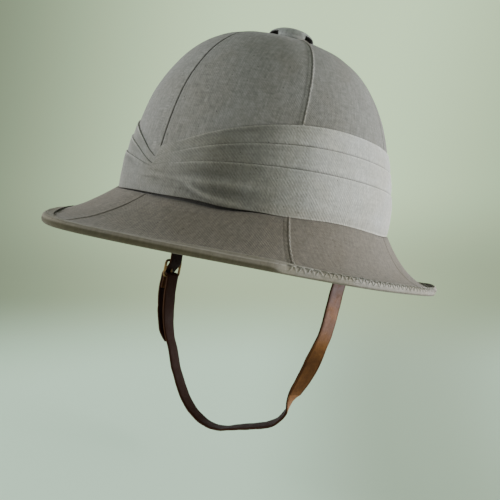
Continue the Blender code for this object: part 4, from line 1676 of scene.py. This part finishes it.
    def build(self) -> list[Piece]:
        """The binding's ring and its stitches.

        The section is carried round the brim's edge; behind each side its outer half rises
        into a low lip, and its upper face is a little wavy.
        """
        angle, length = self.even_angles(self.columns)
        section = np.array(self.section) * MM
        fine = smooth_route(np.vstack([section, section[:1]]), self.section_step)[:-1]
        outward_by, up_by = fine.T[..., None]
        point, normal, outward = self.frame_at(angle, outward_by)
        wave = self.waviness(point)
        top = smooth_step(up_by, *self.wavy_top)
        rolled = self.lip_height(angle) * smooth_step(outward_by, *self.lip_rises)
        rolled = rolled * (up_by > self.lip_from)
        points = point + normal * (up_by + top * wave + rolled)[..., None]
        outer = (1.0 - top) * smooth_step(outward_by, *self.wavy_side)
        points += outward * (wave * outer)[..., None]
        uv = cloth_map(np.linspace(0.0, length, self.columns + 1), points)
        marks = self.marks(angle, self.stitch_count(length), outward_by, up_by)
        ring = grid_piece("brim_edge_binding", points[::-1], closed_rows=True, uv=uv,
                          marks={name: values[::-1] for name, values in marks.items()})
        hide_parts("brim_binding")
        return [ring, self.stitches()]

    def stitches(self) -> Piece:
        """Criss-cross stitches: pairs of slanting threads that cross, each a bowed tube.

        One thread of a pair runs down the path and the other up it, over the first.
        """
        _, length = self.even_angles(self.columns)
        start, _ = self.even_angles(self.stitch_count(length))
        end = np.roll(start, -1)
        end = np.where(end < start, end + FULL_TURN, end)
        behind = np.abs(signed(start)) > self.stitched_from
        start, end = np.tile(start[behind], 2), np.tile(end[behind], 2)
        half = len(start) // 2
        share = np.linspace(0.0, 1.0, self.stitch_rings)
        first = np.repeat([0.0, 1.0], half)[:, None]
        path = smooth_route(np.array(self.stitch_path) * MM, 0.1 * MM)
        place = (first + (1.0 - 2.0 * first) * share) * (len(path) - 1)
        off, up_by = (np.interp(place, np.arange(len(path)), axis) for axis in path.T)
        way = start[:, None] + (end - start)[:, None] * share
        point, normal, outward = self.frame_at(way, off)
        edge = smooth_step(off, *self.stitch_turns_down)[..., None]
        away = unit(normal * (1.0 - edge) + outward * edge)
        over = np.repeat([self.upper_stitch_lift, 0.0], half)[:, None]
        lift = self.stitch_sink + (self.stitch_lift + over) * np.sin(math.pi * share)
        lift = lift * MM + self.waviness(point)
        middle = point + normal * up_by[..., None] + away * lift[..., None]
        return many_tubes("binding_stitches", tube_rings(middle, away, self.thread))


# ------------------------ vent

@dataclass
class Vent:
    """The cloth-covered cap over the vent hole, on three feet."""

    form: HelmetForm
    radius: float = 17.5 * MM
    rim: float = 2.0 * MM
    top: float = 9.8 * MM
    wall: float = 1.6 * MM
    foot_gap: float = 0.15 * MM
    opening_angles: tuple[float, ...] = (100.8, 220.8, 340.8)
    opening_half: float = math.radians(24)
    opening_corner: float = 0.06
    opening_top: float = 4.8 * MM
    lumps: float = 0.12 * MM
    lump_wave: float = 12 * MM
    columns: int = 180

    def dome(self, angle: Array, lower: Array, inset: float) -> Array:
        """One face of the cap, its rows spread along the profile from the pole to the edge.

        The profile's height above the crown is the rim's plus an ellipse's.

        Args:
            angle: angles of the columns.
            lower: height of the lower edge at each.
            inset: distance inwards from the cap's outer face.

        Returns:
            The points.
        """
        form = self.form
        arc = np.linspace(0.5 * math.pi, 0.0, 60)
        radius = np.append((self.radius - inset) * np.cos(arc) ** 0.92, self.radius - inset)
        height = np.append(self.rim + (self.top - inset - self.rim) * np.sin(arc), 0.0)
        way = travelled(np.stack([radius, height], axis=-1))
        end = np.interp(-lower, -height, way)
        place = np.linspace(0.0, 1.0, 34)[:, None] ** 0.8 * end
        radius, height = (np.interp(place, way, axis) for axis in (radius, height))
        return np.stack([form.vent_x + radius * np.sin(angle),
                         form.vent_y - radius * np.cos(angle), form.height + height], axis=-1)

    def build(self) -> Piece:
        """A dome whose lower edge rises over each opening, with a wall inside.

        The lower edge is a square wave of the angle with its corners eased.
        """
        angle = np.linspace(0.0, FULL_TURN, self.columns, endpoint=False)
        away = np.abs(signed(angle[:, None] - np.radians(self.opening_angles))).min(axis=1)
        start, end = (self.opening_half + sign * self.opening_corner for sign in (-1, 1))
        lower = self.opening_top * (1.0 - smooth_step(away, start, end)) + self.foot_gap
        outer, inner = (self.dome(angle, lower, inset) for inset in (0.0, self.wall))
        lumps = self.lumps * unevenness(outer, 31, self.lump_wave)
        outer = outer + grid_normals(outer) * lumps[..., None]
        outer[0], inner[0] = outer[0].mean(axis=0), inner[0].mean(axis=0)
        points = np.concatenate([outer, inner[::-1]])
        uv = cloth_map(np.append(angle, FULL_TURN) * 12 * MM, points, closed_rows=False)
        blank = np.zeros(inner.shape[:2])
        inside = np.concatenate([blank, blank + 1.0])
        rim = np.concatenate([bell(outer[..., 2] - self.form.height, self.rim, 0.5 * MM), blank])
        # The inner face is darkened with painted shade.
        piece = grid_piece("vent_dome", points, uv=uv,
                           marks={"crease_and_shade": 0.8 * inside, "wear_and_highlight": 0.6 * rim,
                                  "fade": 1.0 - inside})
        seal(piece, merge=True)
        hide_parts("vent_cap")
        return piece


# ------------------------ strap

@dataclass(frozen=True)
class Strap:
    """One piece of the chin strap.

    Its twist, wear and creases are placed by millimetres along it: degrees about its route,
    the share of its face that is rubbed pale, and sharp bends across it.
    """

    name: str
    node: str
    outer_side: float
    creases: tuple[float, ...]
    tip: float = 0.0
    twist: Rows = ((0, 0), (400, 0))
    wear: Rows = ((0, 0.3), (400, 0.3))


@dataclass
class ChinStrap:
    """The leather chin strap: a long piece and a short one, which meet at the buckle.

    Routes are (x, z) points in millimetres. uneven_width and ripple are a size and its wave,
    and tip_narrows and thin_edge are a share and its power.
    """

    y: float = 9.0 * MM
    width: float = 12.6 * MM
    uneven_width: Range = (0.02, 9 * MM)
    tip_narrows: Range = (0.93, 1.6)
    leather: float = 2.0 * MM
    thin_edge: tuple[float, int] = (0.35, 10)
    step: float = 1.3 * MM
    across: int = 15
    dish: float = 0.12 * MM
    edge_line: Range = (0.84, 0.035)
    line_depth: float = 0.12 * MM
    ripple: Range = (0.08 * MM, 2.1 * MM)
    cut_edge: Range = (0.86, 0.98)
    crease_depth: float = 0.35 * MM
    crease_width: float = 1.4 * MM
    # dark_from and dark paint shade on each strap past that point, which on the long one is under
    # the chin and up the left side.
    dark_from: Range = (155 * MM, 170 * MM)
    aged_from: Range = (90 * MM, 114 * MM)
    aged_to: float = 146 * MM
    dark: float = 0.7
    aged_dark: float = 0.55
    crease_dark: float = 0.25
    line_dark: float = 0.4
    buckle_x: float = -88.4 * MM
    buckle_z: float = -66.0 * MM
    half_height: float = 7.0 * MM
    layer: float = 2.4 * MM
    flap: Range = (1.5 * MM, 11 * MM)
    clearance: float = 0.3 * MM
    long: Strap = Strap(
        "chin_strap_long", "strap_long", 1.0, creases=(150.0, 154.0, 38.0),
        twist=(
            (0, 0), (35, 2), (56, 11), (90, 13), (105, 21), (115, 31), (125, 26), (134, 20),
            (142, 14), (146, 8), (152, -11), (160, -35), (165, -35), (176, -26), (190, -15),
            (213, -13), (231, -7), (245, 0), (275, 6), (300, 11), (335, 10), (355, 3),
            (366, 0)),
        wear=(
            (0, 0.3), (46, 0.9), (58, 1.0), (66, 0.75), (73, 0.4), (88, 0.35), (104, 0.04),
            (143, 0.04), (149, 0.1), (157, 0.16), (162, 0.0), (420, 0.0)))
    short: Strap = Strap(
        "chin_strap_short", "strap_short", -1.0, creases=(20.0, 118.0), tip=11.0 * MM)
    long_route: Rows = (
        (89.2, 16), (89.5, 2), (87.0, -18), (84, -40), (83, -62), (82, -76), (79, -89),
        (74, -108), (67.5, -125), (64.6, -132.6), (62.2, -143), (54.6, -153.3), (41.5, -161),
        (20.5, -170), (4, -177), (-10, -179), (-21, -177.5), (-33, -173), (-44, -165),
        (-53, -155), (-61, -145), (-67, -134), (-76, -121), (-81.5, -107), (-85, -90), (-86, -79))
    short_route: Rows = (
        (-89.2, 16), (-89.5, 2), (-88.6, -18), (-87.2, -38), (-86.2, -52))
    tongue_route: Rows = ((-93.2, -86), (-89.0, -104), (-83.6, -117), (-78.4, -129))

    def half_width(self, gone: Array, tip: float) -> Array:
        """Half the strap's width along it: a little uneven, and down to a point at a tip.

        Args:
            gone: distance along the strap.
            tip: length of the pointed end, or 0 for a square one.

        Returns:
            Half widths in metres.
        """
        half = np.full(len(gone), 0.5)
        if tip:
            to_end = 1.0 - np.clip((gone[-1] - gone) / tip, 0, 1)
            share, power = self.tip_narrows
            half = 0.5 * np.clip(1.0 - to_end ** power * share, 0.02, 1.0)
        amount, wave = self.uneven_width
        return half * self.width * (1.0 + amount * np.sin(gone / wave))

    def ribbon(self, strap: Strap, route: Array) -> Piece:
        """A strap's section, a flat oblong with rounded edges, carried along its route.

        Args:
            strap: the strap.
            route: (x, z) points in metres.

        Returns:
            The object.
        """
        along = unit(np.gradient(route, axis=0))
        out = np.stack([-along[:, 1], along[:, 0]], axis=-1) * strap.outer_side
        gone = travelled(route)
        face = np.stack([np.linspace(-1.0, 1.0, self.across), np.ones(self.across)], axis=-1)
        section = np.concatenate([face, face[::-1] * (1.0, -1.0)])
        across, level = section.T[..., None]
        outer = level > 0
        crease_and_shade = sum(bell(gone, place * MM, self.crease_width) for place in strap.creases)
        line = bell(np.abs(across), *self.edge_line) * outer
        thinner, power = self.thin_edge
        thick = 0.5 * self.leather * (1.0 - thinner * np.abs(across) ** power)
        depth = (level * thick - self.dish * (1.0 - across ** 2)
                 - self.line_depth * line - self.crease_depth * crease_and_shade * outer)
        height, wave = self.ripple
        depth = depth + height * np.sin(gone / wave) * (1.0 + 0 * across)
        wide = across * self.half_width(gone, strap.tip)

        turn = np.radians(np.interp(gone / MM, *np.array(strap.twist, dtype=float).T))
        cosine, sine = np.cos(turn)[:, None], np.sin(turn)[:, None]
        face_way = np.stack([out[:, 0], 0.0 * gone, out[:, 1]], axis=-1)
        side_way = np.array([0.0, 1.0, 0.0])
        middle = np.stack([route[:, 0], np.full(len(route), self.y), route[:, 1]], axis=-1)
        points = (middle + (cosine * face_way - sine * side_way) * depth[..., None]
                  + (cosine * side_way + sine * face_way) * wide[..., None])
        around = np.append(np.linspace(0, 2 * self.width, len(section)), 2.1 * self.width)
        uv = np.stack(np.broadcast_arrays(gone, around[:, None]), axis=-1)

        flat = np.zeros(points.shape[:2])
        edge = smooth_step(np.abs(across), *self.cut_edge)
        rubbed_and_highlight = np.interp(gone / MM, *np.array(strap.wear, dtype=float).T)
        # Painted shade past dark_from; the strap is also darker at its bends.
        dark = smooth_step(gone, *self.dark_from) * self.dark + self.crease_dark * crease_and_shade
        dark = dark + self.aged_dark * smooth_step(gone, *self.aged_from) * (gone < self.aged_to)
        marks = {"inside": ~outer + flat, "edge": 0.85 * edge + flat,
                 "wear_and_highlight": rubbed_and_highlight * outer * (1.0 - 0.5 * edge) + flat,
                 "crease_and_shade": np.clip(dark + self.line_dark * line, 0, 1) + flat}
        piece = grid_piece(strap.name, points, closed_rows=True, closed_columns=False, uv=uv,
                           marks=marks)
        seal(piece, fill=True)
        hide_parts(strap.node)
        return piece

    def build(self) -> list[Piece]:
        """The two straps.

        The long one's end is folded round the buckle's bar in a half circle, and the short one
        goes through the buckle and lies over it.
        """
        heel, top = self.buckle_z - self.half_height, self.buckle_z + self.half_height
        layer, x = self.layer, self.buckle_x
        route = smooth_route(np.array(self.long_route) * MM, self.step)
        fold_points, flap_points = 13, 7
        turn = np.linspace(0.0, math.pi, fold_points)
        fold = np.stack([x + layer * np.cos(turn), heel + layer * np.sin(turn)], axis=-1)
        drop = np.linspace(*self.flap, flap_points)
        flap = np.stack([np.full(flap_points, x - layer), heel - drop], axis=-1)
        outer = layer + self.leather + self.clearance
        crossing = np.array([
            (x + layer, top + 3.0 * MM), (x + layer, top - 0.5 * MM),
            (x + 0.4 * layer, top - 4.4 * MM), (x - 0.9 * layer, heel + 5.6 * MM),
            (x - outer, heel + 1.6 * MM), (x - outer, heel - 3.0 * MM)])
        points = np.vstack([np.array(self.short_route) * MM, crossing,
                            np.array(self.tongue_route) * MM])
        return [self.ribbon(self.long, np.vstack([route, fold, flap])),
                self.ribbon(self.short, smooth_route(points, self.step))]


# ------------------------ studio

@dataclass(frozen=True)
class Lamp:
    """A soft oblong lamp that faces the helmet and isn't seen itself."""

    name: str
    place: Triple
    size: Range
    power: float
    colour: Colour
    aim: Triple = (0.0, 0.0, 0.02)

    def build(self) -> None:
        """Put the lamp in the scene."""
        data = bpy.data.lights.new(self.name, "AREA")
        data.shape = "RECTANGLE"
        data.size, data.size_y = self.size
        data.energy, data.color = self.power, self.colour
        lamp = bpy.data.objects.new(self.name, data)
        turn = (Vector(self.aim) - Vector(self.place)).to_track_quat("-Z", "Y")
        lamp.matrix_world = Matrix.Translation(self.place) @ turn.to_matrix().to_4x4()
        lamp.visible_camera = False
        bpy.context.scene.collection.objects.link(lamp)


@dataclass
class Studio:
    """A plain pale floor that curves up into a backdrop, lamps at both sides, and the camera.

    Tones on the backdrop are placed by how far a point lies sideways or up, over its distance
    plus `soften`.
    """

    eye: Triple = (0.39119, -0.45347, 0.01408)
    back: Triple = (0.6492, -0.7568, 0.0757)
    right: Triple = (0.759, 0.6511, 0.0)
    up: Triple = (-0.0493, 0.0574, 0.9971)
    roll: float = math.radians(11.941)
    lens: float = 55.126
    floor_height: float = -0.203
    profile: Rows = (
        (0.0001, 0.0), (0.4, 0.0), (0.8, 0.0), (1.2, 0.01), (1.6, 0.09), (1.9, 0.26),
        (2.1, 0.55), (2.2, 0.95), (2.25, 1.6), (2.25, 3.0))
    wall: Colour = (0.86, 1.16, 0.70)
    wall_dim: Colour = (0.215, 0.265, 0.175)
    ground_near: Colour = (0.81, 1.13, 0.86)
    ground_far: Colour = (0.58, 0.74, 0.46)
    ground_shade: Colour = (0.52, 0.68, 0.50)
    paint: Colour = (0.8, 0.8, 0.8)
    soften: float = 0.6
    horizon: float = 0.031
    dim_left: Rows = ((-0.75, -0.48), (-0.42, -0.02))
    dim_right: Rows = ((0.1, 0.36), (0.45, 0.7))
    dim_right_share: float = 0.5
    dim_behind: Range = (0.3, -0.1)
    shade_right: Rows = ((0.02, 0.2), (0.24, 0.5))
    ground_meets: Range = (-0.15, -0.05)
    wall_meets: Range = (-0.03, 0.09)
    room: float = 1.58
    room_front: Triple = (-0.6, -0.6, 1.4)
    room_high: Triple = (-0.85, 0.1, 1.3)
    glow: Triple = (0.5, 0.25, 1.5)
    sky: float = 0.28
    lamps: tuple[Lamp, ...] = (
        Lamp("right_window", (1.28, 1.58, 0.2), (1.6, 1.1), 137.0, (0.97, 0.985, 1.0)),
        Lamp("left_window", (-1.45, -1.3, 0.15), (1.4, 1.0), 50.0, (0.93, 0.965, 1.0)),
    )

    def build(self) -> None:
        """Camera, backdrop, room light and lamps."""
        self.camera()
        self.backdrop()
        world = bpy.data.worlds.new("room")
        world.use_nodes = True
        shade = world.node_tree.nodes["Background"]
        shade.inputs["Color"].default_value = (*self.wall, 1.0)
        shade.inputs["Strength"].default_value = self.sky
        bpy.context.scene.world = world
        for lamp in self.lamps:
            lamp.build()

    def camera(self) -> None:
        """The camera, turned about its line of sight as the helmet is tilted in view."""
        right, up, back = (np.array(axis) for axis in (self.right, self.up, self.back))
        cosine, sine = math.cos(self.roll), math.sin(self.roll)
        axes = np.stack([cosine * right + sine * up, -sine * right + cosine * up, back], axis=1)
        data = bpy.data.cameras.new("camera")
        data.lens = self.lens
        data.sensor_width = 36.0
        data.clip_start = 0.01
        eye = bpy.data.objects.new("camera", data)
        eye.matrix_world = Matrix.Translation(self.eye) @ Matrix(axes.tolist()).to_4x4()
        bpy.context.scene.collection.objects.link(eye)
        bpy.context.scene.camera = eye

    @staticmethod
    def _along(tree: Tree, place: Socket, way: Triple) -> Socket:
        """How far a place lies along a direction."""
        inputs = {0: place, 1: way}
        return add_node(tree, "VectorMath", inputs, operation="DOT_PRODUCT").outputs["Value"]

    def _tone(self, tree: Tree, place: Socket, away: Socket) -> Socket:
        """The backdrop's tone as it is seen.

        The wall is dimmer to the left and right behind the helmet, and the ground has a near
        and a far tone, with a soft shade on the near ground at the right.

        Args:
            tree: the material's tree.
            place: the place on the backdrop.
            away: its distance from the middle.

        Returns:
            The tone's socket.
        """
        upright = tuple(-math.sin(self.roll) * side + math.cos(self.roll) * high
                        for side, high in zip(self.right, self.up))
        level = maths(tree, "ADD", self._along(tree, place, upright), self.horizon)
        reach = maths(tree, "ADD", away, self.soften)
        side = maths(tree, "DIVIDE", self._along(tree, place, self.right), reach)
        height = maths(tree, "DIVIDE", level, reach)
        dim = maths(tree, "MULTIPLY_ADD", window(tree, side, *self.dim_right),
                    self.dim_right_share, window(tree, side, *self.dim_left))
        behind = stepped(tree, self._along(tree, place, self.back), *self.dim_behind)
        bright = maths(tree, "SUBTRACT", 1.0, maths(tree, "MULTIPLY", dim, behind))
        near = mixed(tree, window(tree, side, *self.shade_right), self.ground_near,
                     self.ground_shade)
        far = mixed(tree, bright, self.wall_dim, self.ground_far)
        ground = mixed(tree, stepped(tree, height, *self.ground_meets), near, far)
        return mixed(tree, stepped(tree, height, *self.wall_meets), ground,
                     mixed(tree, bright, self.wall_dim, self.wall))

    def _light(self, tree: Tree, place: Socket) -> Socket:
        """Strength of the backdrop's light: less from the front, and less from high up."""
        front, *front_range = self.room_front
        high, *high_range = self.room_high
        before = stepped(tree, self._along(tree, place, self.back), *front_range)
        above = stepped(tree, self._along(tree, place, (0.0, 0.0, 1.0)), *high_range)
        strength = maths(tree, "MULTIPLY_ADD", before, front * self.room, self.room)
        return maths(tree, "MULTIPLY", strength, maths(tree, "MULTIPLY_ADD", above, high, 1.0))

    def backdrop(self) -> None:
        """A round floor that curves up into a wall, a profile turned about the vertical.

        It glows, most of all far out, so that it lights the helmet from all round: it shows
        its tone to the camera, and a plain grey light to all else.
        """
        angle = np.linspace(0.0, FULL_TURN, 96, endpoint=False)
        radius, height = smooth_route(np.array(self.profile), 0.08).T[..., None]
        floor = grid_piece("studio_backdrop", np.stack([
            radius * np.sin(angle), -radius * np.cos(angle),
            self.floor_height + height + 0.0 * angle], axis=-1))
        material, tree, shader, place = new_material("pale_backdrop")
        away = add_node(tree, "VectorMath", {0: place}, operation="LENGTH").outputs["Value"]
        tone = self._tone(tree, place, away)
        tree.links.new(mixed(tree, 1.0, tone, self.paint, "MULTIPLY"), shader.inputs["Base Color"])
        shader.inputs["Roughness"].default_value = 0.95
        shader.inputs["Specular IOR Level"].default_value = 0.1
        seen = add_node(tree, "LightPath").outputs["Is Camera Ray"]
        light = grey(tree, self._light(tree, place))
        glow = add_node(tree, "Emission", {"Color": mixed(tree, seen, light, tone)})
        least, *far_range = self.glow
        share = maths(tree, "MULTIPLY_ADD", stepped(tree, away, *far_range), 1.0 - least, least)
        blend = add_node(tree, "MixShader", {0: share, 1: shader.outputs[0], 2: glow.outputs[0]})
        output = next(node for node in tree.nodes if node.type == "OUTPUT_MATERIAL")
        tree.links.new(blend.outputs[0], output.inputs["Surface"])
        floor.data.materials.append(material)


def main() -> None:
    """Build each sub-assembly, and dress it."""
    logging.basicConfig(level=logging.INFO, format="%(name)s: %(message)s")
    wardrobe, form = Wardrobe(), HelmetForm()
    shell, seam_stitches = CoveredShell(form).build()
    wardrobe.dress(shell, Finish.SHELL, "khaki_cloth")
    wardrobe.dress(seam_stitches, Finish.THREAD, "khaki_cloth")
    for turn in FoldedBand(form).build():
        wardrobe.dress(turn, Finish.BAND, "puggaree_cloth")
    ring, stitches = BrimBinding(form).build()
    wardrobe.dress(ring, Finish.BINDING, "khaki_cloth")
    wardrobe.dress(stitches, Finish.THREAD, "khaki_cloth")
    wardrobe.dress(Vent(form).build(), Finish.SHELL, "khaki_cloth")
    for strap in ChinStrap().build():
        wardrobe.dress(strap, Finish.STRAP, "strap_leather")
    for node in ("vent_collar", "strap_buckle", "strap_stud_left", "strap_stud_right"):
        wardrobe.dress(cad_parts[node], Finish.BRASS, "dull_brass", rides=False)
    Studio().build()


if __name__ == "__main__":
    main()
